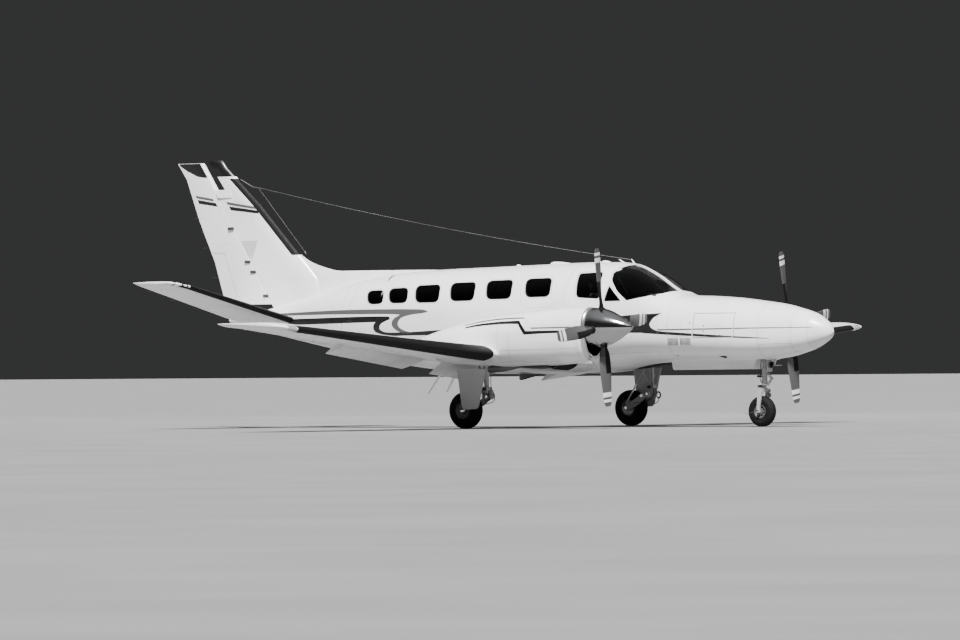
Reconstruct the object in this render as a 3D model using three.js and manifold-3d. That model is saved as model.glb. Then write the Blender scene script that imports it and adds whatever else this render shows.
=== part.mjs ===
import * as THREE from "three";
import Module from "manifold-3d";

const wasm = await Module();
wasm.setup();

// Frame and overall sizes
// Stations are in metres: s aft of the nose tip, y to port, z above the ground.
// The part itself is in millimetres, +X towards the nose, +Y to port, +Z up.
const LENGTH = 11.89;
const NOSE_X = LENGTH / 2;
const GAP = 0.0003;

// Landing gear
const TRACK_HALF = 2.14;
const MAIN_AXLE_S = 5.0;
const MAIN_TYRE_R = 0.27;
const MAIN_TYRE_W = 0.185;
const MAIN_RIM_R = 0.125;
const NOSE_AXLE_S = 1.24;
const NOSE_TYRE_R = 0.225;
const NOSE_TYRE_W = 0.15;
const NOSE_RIM_R = 0.1;

// Engines and propellers
const ENGINE_Y = 2.446;
const PROP_S = 2.365;
const PROP_Z = 1.455;
const PROP_R = 1.143;
const SPINNER_TIP_S = 1.836;
const SPINNER_BASE_S = 2.485;
const SPINNER_R = 0.285;
const SHAFT_R = 0.035;
const COWL_FRONT_S = 2.51;
const COWL_REAR_S = 4.0;

// Fuselage joints along its length
const CAP_S = 0.3;
const NOSE_REAR_S = 2.455;
const CABIN_REAR_S = 8.36;
const TAIL_S = 10.9;
const WALL = 0.05;

// Jacking pads: a flat round foot under the nose and under each wing
const JACK = { r: 0.03, noseZ: 0.975, wingS: 4.7, wingY: 3.1, wingZ: 0.975 };

// Control surfaces, and the pins they turn on
const CLEAR = 0.008;
const PIN_R = 0.008;
const PIN_SIDES = 16;
const FLAP_DOWN = 24;

// Fuselage sections, each the section's outline over and under its widest line
// s, crown z, keel z, half width, z of the widest line, power of the upper curve
const FUSELAGE = [
  [0.0, 1.378, 1.362, 0.008, 1.37, 2],
  [0.03, 1.447, 1.312, 0.066, 1.37, 2],
  [0.08, 1.51, 1.264, 0.12, 1.37, 2],
  [0.16, 1.57, 1.216, 0.176, 1.37, 2],
  [0.3, 1.648, 1.145, 0.25, 1.362, 2.05],
  [0.5, 1.709, 1.077, 0.325, 1.355, 2.1],
  [0.8, 1.78, 1.008, 0.41, 1.35, 2.15],
  [1.15, 1.829, 0.972, 0.487, 1.35, 2.2],
  [1.62, 1.883, 0.958, 0.565, 1.36, 2.2],
  [2.1, 1.913, 0.957, 0.62, 1.38, 2.3],
  [2.36, 1.92, 0.956, 0.645, 1.4, 2.4],
  [2.5, 1.943, 0.955, 0.658, 1.41, 2.45],
  [2.66, 2.005, 0.952, 0.67, 1.43, 2.55],
  [3.02, 2.228, 0.94, 0.695, 1.47, 2.75],
  [3.34, 2.374, 0.9, 0.715, 1.5, 2.55],
  [3.5, 2.405, 0.87, 0.723, 1.515, 2.4],
  [3.725, 2.425, 0.845, 0.733, 1.53, 2.3],
  [4.1, 2.43, 0.812, 0.745, 1.55, 2.2],
  [5.16, 2.405, 0.79, 0.75, 1.56, 2.2],
  [6.0, 2.381, 0.8, 0.75, 1.56, 2.2],
  [6.8, 2.36, 0.85, 0.742, 1.56, 2.2],
  [7.5, 2.325, 0.93, 0.715, 1.57, 2.2],
  [8.0, 2.275, 1.01, 0.668, 1.58, 2.2],
  [8.4, 2.215, 1.09, 0.61, 1.59, 2.2],
  [8.8, 2.13, 1.17, 0.535, 1.6, 2.2],
  [9.5, 1.955, 1.31, 0.375, 1.61, 2.2],
  [10.15, 1.8, 1.44, 0.225, 1.62, 2.1],
  [10.6, 1.72, 1.53, 0.12, 1.63, 2],
  [10.9, 1.672, 1.6, 0.045, 1.64, 2],
];
const LOWER_POWER = 2.5;

// Wing stations
// y, leading edge s, leading edge z, chord, thickness ratio, incidence in degrees
const WING = [
  [0.42, 3.84, 0.958, 2.02, 0.17, 2.0],
  [0.74, 3.88, 0.965, 1.97, 0.17, 2.0],
  [2.446, 3.966, 1.062, 1.735, 0.16, 1.0],
  [7.2, 4.273, 1.452, 1.083, 0.12, -1.2],
  [7.43, 4.291, 1.471, 1.112, 0.09, -1.4],
  [7.49, 4.33, 1.484, 1.11, 0.055, -1.8],
  [7.52, 4.42, 1.494, 1.03, 0.025, -2.2],
];

// Tailplane stations, same columns
const TAILPLANE = [
  [0, 9.4, 1.556, 1.2, 0.11, 0],
  [0.12, 9.41, 1.582, 1.19, 0.11, 0],
  [2.7, 9.62, 2.13, 0.895, 0.1, 0],
  [2.86, 9.64, 2.158, 0.885, 0.075, 0],
  [2.9, 9.7, 2.172, 0.83, 0.035, 0],
];

// Fin and the dorsal fillet ahead of it
// z, leading edge s, greatest half thickness
const FIN = [
  [1.86, 9.35, 0.085],
  [2.0, 8.9, 0.1],
  [2.15, 8.3, 0.105],
  [2.28, 7.6, 0.105],
  [2.345, 7.25, 0.1],
  [2.362, 8.836, 0.1],
  [2.396, 9.023, 0.098],
  [2.458, 9.248, 0.096],
  [2.613, 9.56, 0.092],
  [3.382, 10.295, 0.075],
  [3.96, 10.93, 0.062],
  [4.045, 11.0, 0.055],
  [4.074, 11.03, 0.035],
];
// The fin's rear edge stands clear of the rudder above this point, to the tip
const FIN_SLOT = [[10.946, 3.62], [11.29, 4.09]];

// The fin's hollow, open into the tail cone
// z, front s, rear s, half width in front, half width behind
const FIN_HOLLOW = [
  [1.78, 9.55, 9.92, 0.066, 0.045],
  [2.3, 9.4, 10.2, 0.07, 0.045],
  [2.613, 9.75, 10.4, 0.064, 0.042],
  [3.55, 10.65, 10.88, 0.042, 0.034],
];

// Rudder hinge line and rear edge
// z, hinge s, rear edge s, nose radius
const RUDDER = [
  [1.875, 10.1, 10.995, 0.07],
  [2.529, 10.505, 11.198, 0.064],
  [3.143, 10.885, 11.48, 0.056],
  [3.79, 11.285, 11.723, 0.047],
  [4.035, 11.437, 11.89, 0.04],
];

// Nacelle sections: s, crown z, keel z, half width, z of the widest line
const NACELLE = [
  [2.51, 1.745, 1.0, 0.27, 1.42],
  [2.62, 1.752, 0.965, 0.3, 1.4],
  [2.85, 1.755, 0.938, 0.33, 1.38],
  [3.37, 1.724, 0.908, 0.345, 1.35],
  [4.0, 1.664, 0.9, 0.34, 1.3],
  [4.52, 1.597, 0.95, 0.305, 1.28],
  [4.97, 1.499, 1.02, 0.235, 1.25],
  [5.38, 1.386, 1.09, 0.13, 1.2],
  [5.63, 1.3, 1.12, 0.03, 1.18],
];

// Cabin windows, starboard side, aft to forward: rear s, front s, lower z, upper z
const WINDOWS = [
  [7.9, 7.59, 1.855, 2.055],
  [7.48, 7.13, 1.865, 2.085],
  [6.985, 6.545, 1.868, 2.125],
  [6.345, 5.905, 1.885, 2.155],
  [5.695, 5.24, 1.905, 2.18],
  [4.995, 4.545, 1.928, 2.2],
];

// Helpers for points, rings and solids
const pt = (s, y, z) => [(NOSE_X - s) * 1000, y * 1000, z * 1000];
const add = (a, b) => a.map((v, i) => v + b[i]);
const mul = (a, k) => a.map((v) => v * k);
const dot = (a, b) => a[0] * b[0] + a[1] * b[1] + a[2] * b[2];
const cross = (a, b) => [
  a[1] * b[2] - a[2] * b[1],
  a[2] * b[0] - a[0] * b[2],
  a[0] * b[1] - a[1] * b[0],
];
const unit = (a) => mul(a, 1 / Math.hypot(...a));
const rad = (deg) => (deg * Math.PI) / 180;

// A row of a table at any value of its first column
function rowAt(table, value) {
  for (let i = 1; i < table.length; i++) {
    const [a, b] = [table[i - 1], table[i]];
    if (value <= b[0] || i === table.length - 1) {
      const k = (value - a[0]) / (b[0] - a[0]);
      return a.map((v, j) => v + (b[j] - v) * k);
    }
  }
  return table[0];
}

// A closed solid from rings of points, one point where an end comes to a tip
function loft(rings) {
  const verts = [];
  const tris = [];
  const starts = rings.map((ring) => {
    const start = verts.length;
    verts.push(...ring);
    return start;
  });
  for (let i = 1; i < rings.length; i++) {
    const [na, nb] = [rings[i - 1].length, rings[i].length];
    const n = Math.max(na, nb);
    for (let j = 0; j < n; j++) {
      const k = (j + 1) % n;
      const a = [starts[i - 1] + (na > 1 ? j : 0), starts[i - 1] + (na > 1 ? k : 0)];
      const b = [starts[i] + (nb > 1 ? j : 0), starts[i] + (nb > 1 ? k : 0)];
      if (nb > 1) tris.push([a[0], b[0], b[1]]);
      if (na > 1) tris.push([a[0], b[1], a[1]]);
    }
  }
  for (const [ring, start, flip] of [
    [rings[0], starts[0], false],
    [rings[rings.length - 1], starts[rings.length - 1], true],
  ]) {
    if (ring.length === 1) continue;
    const centre = verts.length;
    verts.push(mul(ring.reduce(add), 1 / ring.length));
    ring.forEach((_, j) => {
      const k = (j + 1) % ring.length;
      tris.push(flip ? [centre, start + k, start + j] : [centre, start + j, start + k]);
    });
  }
  let volume = 0;
  for (const [a, b, c] of tris) volume += dot(verts[a], cross(verts[b], verts[c]));
  const out = volume > 0 ? tris : tris.map(([a, b, c]) => [a, c, b]);
  const mesh = new wasm.Mesh({
    numProp: 3,
    vertProperties: new Float32Array(verts.flat()),
    triVerts: new Uint32Array(out.flat()),
  });
  mesh.merge();
  return new wasm.Manifold(mesh);
}

const fuse = (list) => list.reduce((a, b) => a.add(b));
const cutAll = (body, list) => list.reduce((a, b) => a.subtract(b), body);

// Prisms: outlines in side view (s, z), in front view (y, z) and in plan (s, y)
const sidePrism = (outline, y0, y1) =>
  loft([y0, y1].map((y) => outline.map(([s, z]) => pt(s, y, z))));
const frontPrism = (outline, s0, s1) =>
  loft([s0, s1].map((s) => outline.map(([y, z]) => pt(s, y, z))));
const planPrism = (outline, z0, z1) =>
  loft([z0, z1].map((z) => outline.map(([s, y]) => pt(s, y, z))));
const box = (s0, s1, y0, y1, z0, z1) =>
  planPrism([[s0, y0], [s1, y0], [s1, y1], [s0, y1]], z0, z1);

// A box turned about the vertical, for doors whose hinges follow the tapering side
function turnedBox(s, y, yaw, halfLength, inward, outward, z0, z1) {
  const [c, n] = [Math.cos(yaw), Math.sin(yaw)];
  const corner = (a, b) => [s + a * c + b * n, y - a * n + b * c];
  const outline = [
    corner(-halfLength, -inward),
    corner(halfLength, -inward),
    corner(halfLength, outward),
    corner(-halfLength, outward),
  ];
  return planPrism(outline, z0, z1);
}

// Round bodies between two points: list of [distance from the first point, radius]
function turned(from, to, profile, n = 20) {
  const d = unit(add(to, mul(from, -1)));
  const side = unit(cross(d, Math.abs(d[2]) < 0.9 ? [0, 0, 1] : [1, 0, 0]));
  const up = cross(side, d);
  return loft(
    profile.map(([t, r]) => {
      const centre = add(from, mul(d, t * 1000));
      if (r === 0) return [centre];
      return Array.from({ length: n }, (_, i) => {
        const a = (2 * Math.PI * i) / n;
        const out = add(mul(side, Math.cos(a)), mul(up, Math.sin(a)));
        return add(centre, mul(out, r * 1000));
      });
    }),
  );
}
function rod(a, b, r, n = 14) {
  const length = Math.hypot(a[0] - b[0], a[1] - b[1], a[2] - b[2]) / 1000;
  return turned(a, b, [[0, r], [length, r]], n);
}
// A disc or ring about an axle that runs to port
function wheelSolid(s, z, y, profile, n) {
  return turned(pt(s, y, z), pt(s, y + 1, z), profile, n);
}

// Rounded outline between four corners given in order
function roundedOutline(corners, radius, steps = 3) {
  const out = [];
  corners.forEach((corner, i) => {
    const before = corners[(i + corners.length - 1) % corners.length];
    const after = corners[(i + 1) % corners.length];
    const toward = (p) => {
      const d = [p[0] - corner[0], p[1] - corner[1]];
      const k = Math.min(radius, Math.hypot(...d) * 0.45) / Math.hypot(...d);
      return [corner[0] + d[0] * k, corner[1] + d[1] * k];
    };
    const [a, b] = [toward(before), toward(after)];
    for (let j = 0; j <= steps; j++) {
      const t = j / steps;
      const w = [(1 - t) * (1 - t), 2 * t * (1 - t), t * t];
      out.push([
        w[0] * a[0] + w[1] * corner[0] + w[2] * b[0],
        w[0] * a[1] + w[1] * corner[1] + w[2] * b[1],
      ]);
    }
  });
  return out;
}

// Sections of bodies that are round over and under a widest line
function ovalRing(row, inset, n, lower = LOWER_POWER, middle = 0) {
  const [s, crown, keel, half, mid, upper] = row;
  return Array.from({ length: n }, (_, i) => {
    const a = (2 * Math.PI * (i + 0.5)) / n;
    const [c, v] = [Math.cos(a), Math.sin(a)];
    const power = v > 0 ? upper : lower;
    const reach = v > 0 ? crown - mid - inset : mid - keel - inset;
    const y = middle + Math.sign(c) * Math.abs(c) ** (2 / power) * (half - inset);
    return pt(s, y, mid + Math.sign(v) * Math.abs(v) ** (2 / power) * reach);
  });
}
const FUSELAGE_SIDES = 32;
// The fuselage between two stations, inset from its skin (outset where negative)
function fuselage(s0, s1, inset = 0, n = FUSELAGE_SIDES) {
  const rows = FUSELAGE.filter(([s]) => s > s0 + 0.01 && s < s1 - 0.01);
  const all = [rowAt(FUSELAGE, s0), ...rows, rowAt(FUSELAGE, s1)];
  return loft(all.map((row) => ovalRing(row, inset, n)));
}
// A slice of a solid between two stations
const slice = (solid, s0, s1) => solid.intersect(box(s0, s1, -9, 9, 0, 5));
// Half width of the skin at a station and height
function skinY(s, z) {
  const [, crown, keel, half, mid, upper] = rowAt(FUSELAGE, s);
  const k = z > mid ? (z - mid) / (crown - mid) : (mid - z) / (mid - keel);
  const power = z > mid ? upper : LOWER_POWER;
  return half * (1 - Math.min(1, k) ** power) ** (1 / power);
}

// Wing and tail sections, leading edge first round the top
const CHORD_POINTS = [1, 0.7, 0.45, 0.22, 0.1, 0.04, 0.01];
const CAMBER = 0.015;
function thicknessAt(x) {
  return (
    5 * (0.2969 * Math.sqrt(x) - 0.126 * x - 0.3516 * x * x + 0.2843 * x ** 3 - 0.1015 * x ** 4)
  );
}
function sectionPoint(row, x, sign, camber) {
  const [y, s, z, chord, ratio, incidence] = row;
  const rise = camber * 4 * x * (1 - x) * chord + sign * (thicknessAt(x) * ratio * chord + 0.0015);
  const a = rad(incidence);
  return [s + x * chord * Math.cos(a) + rise * Math.sin(a), y, z - x * chord * Math.sin(a) + rise];
}
function airfoilRing(row, side, camber) {
  const top = CHORD_POINTS.map((x) => sectionPoint(row, x, 1, camber));
  const nose = [sectionPoint(row, 0, 0, camber)];
  const bottom = CHORD_POINTS.map((x) => sectionPoint(row, x, -1, camber)).reverse();
  return [...top, ...nose, ...bottom].map(([s, y, z]) => pt(s, y * side, z));
}

// A hinged surface or the space it swings in. Ends give the hinge point, the nose radius
// and the distance from hinge to rear edge. Its end faces stand square to the hinge.
function hinged(ends, { turn = 0, grow = 0, level = false } = {}) {
  const points = ends.map((e) => pt(...e.hinge));
  const d = unit(add(points[points.length - 1], mul(points[0], -1)));
  const aft = [-1, 0, 0];
  const flat = level ? aft : unit(add(aft, mul(d, -dot(aft, d))));
  const tall = level ? [0, 1, 0] : unit(cross(d, flat));
  const stretch = level ? 1 / Math.abs(d[2]) : 1;
  const space = grow > 0;
  const last = ends.length - 1;
  const rings = ends.map((e, i) => {
    const r = e.r + grow;
    const shift = mul(d, (i === 0 ? -grow : i === last ? grow : 0) * 1000);
    const centre = add(points[i], shift);
    const local = [];
    for (let j = 0; j <= 8; j++) {
      const a = rad(84 + (j * 192) / 8);
      local.push([Math.cos(a) * r * stretch, Math.sin(a) * r]);
    }
    if (space) local.push([e.chord + 0.3, -r * 1.6], [e.chord + 0.3, r * 1.6]);
    else local.push([e.chord, -0.002], [e.chord, 0.002]);
    const droop = rad(turn + (e.slope || 0));
    const [c, n] = [Math.cos(droop), Math.sin(droop)];
    return local.map(([a, b]) =>
      add(centre, add(mul(flat, (a * c - b * n) * 1000), mul(tall, (a * n + b * c) * 1000))),
    );
  });
  return loft(rings);
}

// The hinge point, nose radius and chord of a surface at a wing or tail station
function hingeOn(table, y, side, fraction, camber) {
  const row = rowAt(table, y);
  const top = sectionPoint(row, fraction, 1, camber);
  const bottom = sectionPoint(row, fraction, -1, camber);
  const rear = sectionPoint(row, 1, 0, camber);
  const mid = [(top[0] + bottom[0]) / 2, y * side, (top[2] + bottom[2]) / 2];
  const chord = Math.hypot(rear[0] - mid[0], rear[2] - mid[2]);
  return { hinge: mid, r: (top[2] - bottom[2]) / 2, chord, rise: rear[2] - mid[2] };
}

// A bore is drawn so much wider than its pin that flats and corners pass with room
const boreOf = (r, sides = PIN_SIDES) => (r + 0.0003) / Math.cos(Math.PI / sides);
// The pins that carry a hinged surface at its ends, or the bores that they turn in
function endPins(ends, bored) {
  const [a, b] = [pt(...ends[0].hinge), pt(...ends[ends.length - 1].hinge)];
  const d = unit(add(b, mul(a, -1)));
  const [outside, inside, r] = bored ? [-2, 30, boreOf(PIN_R)] : [-CLEAR * 1000 - 5, 25, PIN_R];
  const pin = (p, k) => rod(add(p, mul(d, outside * k)), add(p, mul(d, inside * k)), r, PIN_SIDES);
  return fuse([pin(a, 1), pin(b, -1)]);
}
// A hinge rod along a door's edge, with the lugs that join it to the door
function hingeRod(hinge, halfLength, toDoor, side) {
  const at = mul(hinge.at, 1000);
  const end = (k) => add(at, mul(hinge.axis, halfLength * 1000 * k));
  const bodies = [rod(end(-0.9), end(0.9), CLEAR / 2 - GAP, 10)];
  for (const k of [-0.7, 0, 0.7]) {
    const [x, y, z] = end(k);
    const lug = [[0.5, -2.5], [0.5, 12], [-8, 12], [-8, 2.5], [-1, -2.5]];
    bodies.push(
      loft([-25, 25].map((w) => lug.map(([out, down]) =>
        [x + w, y + out * side + w * (hinge.axis[1] / hinge.axis[0]), z + down * toDoor]))),
    );
  }
  return fuse(bodies);
}

// Materials
const paint = (color, roughness = 0.35, metalness = 0) =>
  new THREE.MeshStandardMaterial({ color, roughness, metalness });
const WHITE = 0xe6e6e4;
const DARK = 0x2a2b2d;

const group = new THREE.Group();
// Each part may carry its hinge: a point in metres and the axis it turns about
const inMetres = (point) => mul(point, 0.001);
const hingeOf = (from, to) => ({ at: inMetres(from), axis: unit(add(to, mul(from, -1))) });
function part(name, solid, material, hinge = null) {
  const mesh = solid.getMesh();
  const geometry = new THREE.BufferGeometry();
  geometry.setAttribute("position", new THREE.BufferAttribute(mesh.vertProperties, 3));
  geometry.setIndex(new THREE.BufferAttribute(mesh.triVerts, 1));
  geometry.computeVertexNormals();
  const node = new THREE.Mesh(geometry, material);
  node.name = name;
  node.userData.hinge = hinge;
  group.add(node);
}
const SIDES = [["left", 1], ["right", -1]];

// Nose: cap, and the nose section with its baggage bay and the nose wheel's well
const BAY = { s: 1.72, half: 0.33, low: 1.3, high: 1.66 };
const BAY_YAW = Math.atan2(skinY(2.05, 1.66) - skinY(1.39, 1.66), 0.66);
const WELL = [1.1, 2.74, -0.17, 0.17, 0.8, 1.2];
const bayHinge = { y: skinY(BAY.s, BAY.high), z: BAY.high };

const hull = fuselage(0, TAIL_S);
const hullSpace = fuselage(0, TAIL_S, -GAP);
part("nose_cap", slice(hull, -0.1, CAP_S - GAP), paint(0xd6d6d3, 0.4));

let nose = slice(hull, CAP_S, NOSE_REAR_S - GAP);
for (const [, side] of SIDES) {
  const yaw = -BAY_YAW * side;
  nose = nose.subtract(
    turnedBox(BAY.s, bayHinge.y * side, yaw, BAY.half, side > 0 ? 0.55 : 0.3,
      side > 0 ? 0.3 : 0.55, BAY.low, BAY.high),
  );
}
const well = box(...WELL);
nose = nose.subtract(well);
nose = nose.add(rod(pt(0.9, 0, 1.03), pt(0.9, 0, JACK.noseZ), JACK.r));
part("nose_section", nose, paint(WHITE));

const baySkin = slice(hull, 1.2, 2.2).subtract(fuselage(0.5, 2.6, 0.025));
for (const [name, side] of SIDES) {
  const yaw = -BAY_YAW * side;
  const door = baySkin.intersect(
    turnedBox(BAY.s, bayHinge.y * side, yaw, BAY.half - CLEAR, side > 0 ? 0.2 : 0.3,
      side > 0 ? 0.3 : 0.2, BAY.low + CLEAR, BAY.high - CLEAR),
  );
  const [c, n] = [Math.cos(yaw), Math.sin(yaw)];
  const from = pt(BAY.s, bayHinge.y * side, bayHinge.z - CLEAR / 2);
  const hinge = hingeOf(from, add(from, [-c, -n, 0]));
  part(`nose_bay_door_${name}`, door.add(hingeRod(hinge, BAY.half, -1, side)), paint(WHITE), hinge);
}

// Cabin: a hollow shell with the windows and the rear door's opening cut
const DOOR = { s: 7.235, half: 0.29, low: 1.12, split: 1.62, high: 2.16 };
const doorYaw = (z) => Math.atan2(skinY(DOOR.s - 0.28, z) - skinY(DOOR.s + 0.28, z), 0.56);
const doorSpace = (z0, z1, z, shrink) =>
  turnedBox(DOOR.s, skinY(DOOR.s, z), doorYaw(z), DOOR.half - shrink, 0.35, 0.4, z0, z1);

const windowOutline = ([rear, front, low, high]) =>
  roundedOutline(
    [
      [rear - 0.045, low],
      [front, low + 0.004],
      [front + 0.01, high],
      [rear, high - 0.012],
    ],
    0.085,
  );
const AFT_PANE = [[4.085, 2.235], [3.7, 2.25], [3.63, 1.905], [3.99, 1.94]];
const CORNER_PANE = [[3.5, 2.04], [3.52, 1.875], [3.3, 1.855]];
// Each windscreen half wraps from the centre strip round to the side
const SCREEN_STRIP = 0.035;
const SCREEN_PANE = [
  [2.4, 2.02],
  [2.62, 2.002],
  [2.69, 1.965],
  [2.88, 1.92],
  [3.17, 1.865],
  [3.35, 1.99],
  [3.51, 2.15],
  [3.54, 2.25],
  [3.5, 2.335],
  [3.42, 2.385],
  [3.33, 2.5],
  [2.4, 2.5],
];

const interior = (inset) => fuselage(NOSE_REAR_S + WALL, CABIN_REAR_S - WALL, inset, 20);
const cavity = interior(WALL).subtract(box(2.3, 2.79, -0.9, 0.9, 0.7, 1.25));
let cabin = slice(hull, NOSE_REAR_S, CABIN_REAR_S - GAP).subtract(cavity).subtract(well);
const panes = [];
WINDOWS.forEach((row, i) => {
  const outline = windowOutline(row);
  panes.push(sidePrism(outline, -1, -0.3));
  if (i > 1) panes.push(sidePrism(outline, 0.3, 1));
});
for (const [, side] of SIDES) {
  const [a, b] = side > 0 ? [0.25, 1] : [-1, -0.25];
  panes.push(sidePrism(roundedOutline(AFT_PANE, 0.07), a, b));
  panes.push(sidePrism(roundedOutline(CORNER_PANE, 0.03), a, b));
  const strip = SCREEN_STRIP * side;
  panes.push(sidePrism(SCREEN_PANE, ...[strip, side].sort((p, q) => p - q)));
}
cabin = cutAll(cabin, panes);
cabin = cabin.subtract(doorSpace(DOOR.low, DOOR.split, DOOR.low, 0));
cabin = cabin.subtract(doorSpace(DOOR.split - 0.001, DOOR.high, DOOR.high, 0));
part("cabin_shell", cabin, paint(WHITE));

// The rear door: an upper leaf that lifts and a lower leaf that carries the steps
const shell = slice(hull, 6.8, 7.7).subtract(interior(WALL));
const upper = shell
  .intersect(doorSpace(DOOR.split + 0.004, DOOR.high - CLEAR, DOOR.high, CLEAR))
  .subtract(sidePrism(windowOutline(WINDOWS[1]), 0.3, 1));
const lower = shell.intersect(doorSpace(DOOR.low + CLEAR, DOOR.split - 0.004, DOOR.low, CLEAR));
const doorHinge = (z, edge) => {
  const yaw = doorYaw(z);
  const from = pt(DOOR.s, skinY(DOOR.s, z), edge);
  return hingeOf(from, add(from, [-Math.cos(yaw), -Math.sin(yaw), 0]));
};
const upperHinge = doorHinge(DOOR.high, DOOR.high - CLEAR / 2);
const lowerHinge = doorHinge(DOOR.low, DOOR.low + CLEAR / 2);
part("door_upper", upper.add(hingeRod(upperHinge, DOOR.half, -1, 1)), paint(WHITE), upperHinge);
part("door_lower", lower.add(hingeRod(lowerHinge, DOOR.half, 1, 1)), paint(WHITE), lowerHinge);

// Glazing: one inner pane strip a side, seated against the inner face of the wall
const GLASS_OUT = WALL + GAP;
const GLASS_IN = WALL + 0.008;
const glass = interior(GLASS_OUT).subtract(interior(GLASS_IN));
part("side_glass_right", glass.intersect(box(4.4, 8.05, -1, -0.2, 1.8, 2.26)),
  paint(0x303438, 0.1));
part("side_glass_left", glass.intersect(box(4.4, 6.9, 0.2, 1, 1.8, 2.26)),
  paint(0x303438, 0.1));
part("door_glass", glass.intersect(box(7.06, 7.5, 0.2, 0.9, 1.82, 2.12)),
  paint(0x303438, 0.1));
part("cockpit_glass", glass.intersect(box(2.5, 4.15, -1, 1, 1.82, 2.5)),
  paint(0x303438, 0.1));

// Floor, seats and instrument panel
const lining = slice(interior(GLASS_OUT), NOSE_REAR_S + WALL + GAP, CABIN_REAR_S - WALL - GAP);
const FLOOR_TOP = 1.18;
// The floor stops short of the lower door leaf, whose inner edge swings up as it opens
const doorRoom = box(6.92, 7.55, 0.48, 1, 1.1, 1.3);
part("cabin_floor", lining.intersect(box(2.8, 8.2, -0.8, 0.8, FLOOR_TOP - 0.025, FLOOR_TOP))
  .subtract(doorRoom), paint(0x6a6a68, 0.9));
const seatBlock = (s, y) => [
  box(s - 0.24, s + 0.22, y - 0.2, y + 0.2, 1.42, 1.52),
  sidePrism([[s + 0.14, 1.5], [s + 0.24, 1.5], [s + 0.36, 2.08], [s + 0.28, 2.08]],
    y - 0.17, y + 0.17),
  box(s - 0.2, s + 0.18, y - 0.1, y + 0.1, FLOOR_TOP + 0.03 - GAP, 1.43),
];
const SEATS = [3.62, 4.75, 5.5, 6.3];
const seats = [box(3.3, 6.7, -0.35, -0.27, FLOOR_TOP + GAP, FLOOR_TOP + 0.03),
  box(3.3, 6.7, 0.27, 0.35, FLOOR_TOP + GAP, FLOOR_TOP + 0.03),
  box(4.1, 4.15, -0.35, 0.35, FLOOR_TOP + GAP, FLOOR_TOP + 0.03)];
for (const s of SEATS) seats.push(...seatBlock(s, 0.31), ...seatBlock(s, -0.31));
part("cabin_seats", fuse(seats), paint(0x77706a, 0.9));
const panel = [
  box(3.0, 3.05, -0.8, 0.8, 1.45, 1.93),
  box(2.75, 3.1, -0.8, 0.8, 1.92, 1.95),
  box(3.03, 3.3, -0.11, 0.11, FLOOR_TOP + GAP, 1.6),
];
const glassSpace = slice(interior(WALL).subtract(interior(GLASS_IN + GAP)), 2.4, 4.2).intersect(
  box(2.4, 4.2, -1, 1, 1.81, 2.6));
part("instrument_panel", lining.intersect(fuse(panel)).subtract(glassSpace),
  paint(0x202224, 0.7));

// Tail cone, hollow and open at the cabin's rear frame
const tailplaneRings = (grow) => {
  const rings = [];
  for (const side of [-1, 1]) {
    const rows = side < 0 ? [...TAILPLANE].reverse() : TAILPLANE.slice(1);
    for (const row of rows) {
      const wide = [row[0], row[1] - grow, row[2], row[3] + 2 * grow,
        row[4] + (2 * grow) / row[3], row[5]];
      rings.push(airfoilRing(wide, side, 0));
    }
  }
  return loft(rings);
};
const finRing = ([z, front, half]) => {
  const [, hinge, , rearHalf] = rowAt(RUDDER, z);
  const rear = hinge + 0.01;
  const outline = [0, 0.01, 0.04, 0.1, 0.2, 0.35, 0.6, 1].map((x) => {
    const thin = half * Math.min(1, thicknessAt(x * 0.86) / 0.5);
    const flat = half + ((Math.min(half, rearHalf) - half) * (x - 0.35)) / 0.65;
    return [front + x * (rear - front), x < 0.35 ? thin : flat];
  });
  const other = outline.slice(1).reverse().map(([s, y]) => [s, -y]);
  return [...outline, ...other].map(([s, y]) => pt(s, y, z));
};
const finHollow = loft(FIN_HOLLOW.map(([z, front, rear, a, b]) =>
  [[front, -a], [rear, -b], [rear, b], [front, a]].map(([s, y]) => pt(s, y, z))));
const rudderEnds = RUDDER.map(([z, s, rear, r]) => ({
  hinge: [s, 0, z],
  r,
  chord: rear - s,
}));
const rudderLine = (z) => {
  const [, s] = rowAt(RUDDER, z);
  return pt(s, 0, z);
};
const RUDDER_PIN_R = 0.012;
const rudderFoot = (z) => {
  const [a, b] = [rudderLine(1.875), rudderLine(2.5)];
  return add(a, mul(add(b, mul(a, -1)), (z - 1.875) / 0.625));
};
const tailCone = slice(hull, CABIN_REAR_S, TAIL_S + 0.1)
  .subtract(fuselage(CABIN_REAR_S - 0.1, 10.3, 0.03, 16))
  .subtract(tailplaneRings(GAP))
  .add(rod(rudderFoot(1.79), rudderFoot(1.93), RUDDER_PIN_R, PIN_SIDES));
part("tail_cone", tailCone, paint(WHITE));
const rudderSpace = hinged(
  [{ ...rudderEnds[0], hinge: [10.03, 0, 1.762] }, ...rudderEnds.slice(1)],
  { grow: CLEAR, level: true },
);
const finSlot = [...FIN_SLOT, [12, 4.09], [12, 3.62]];
const fin = loft(FIN.map(finRing))
  .subtract(finHollow)
  .subtract(rudderSpace)
  .subtract(sidePrism(finSlot, -0.2, 0.2))
  .subtract(hullSpace);
part("fin", fin, paint(WHITE));
const rudder = hinged(rudderEnds, { level: true }).subtract(
  rod(rudderFoot(1.83), rudderFoot(1.94), boreOf(RUDDER_PIN_R), PIN_SIDES));
part("rudder", rudder, paint(WHITE),
  hingeOf(pt(...rudderEnds[0].hinge), pt(...rudderEnds[4].hinge)));

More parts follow.
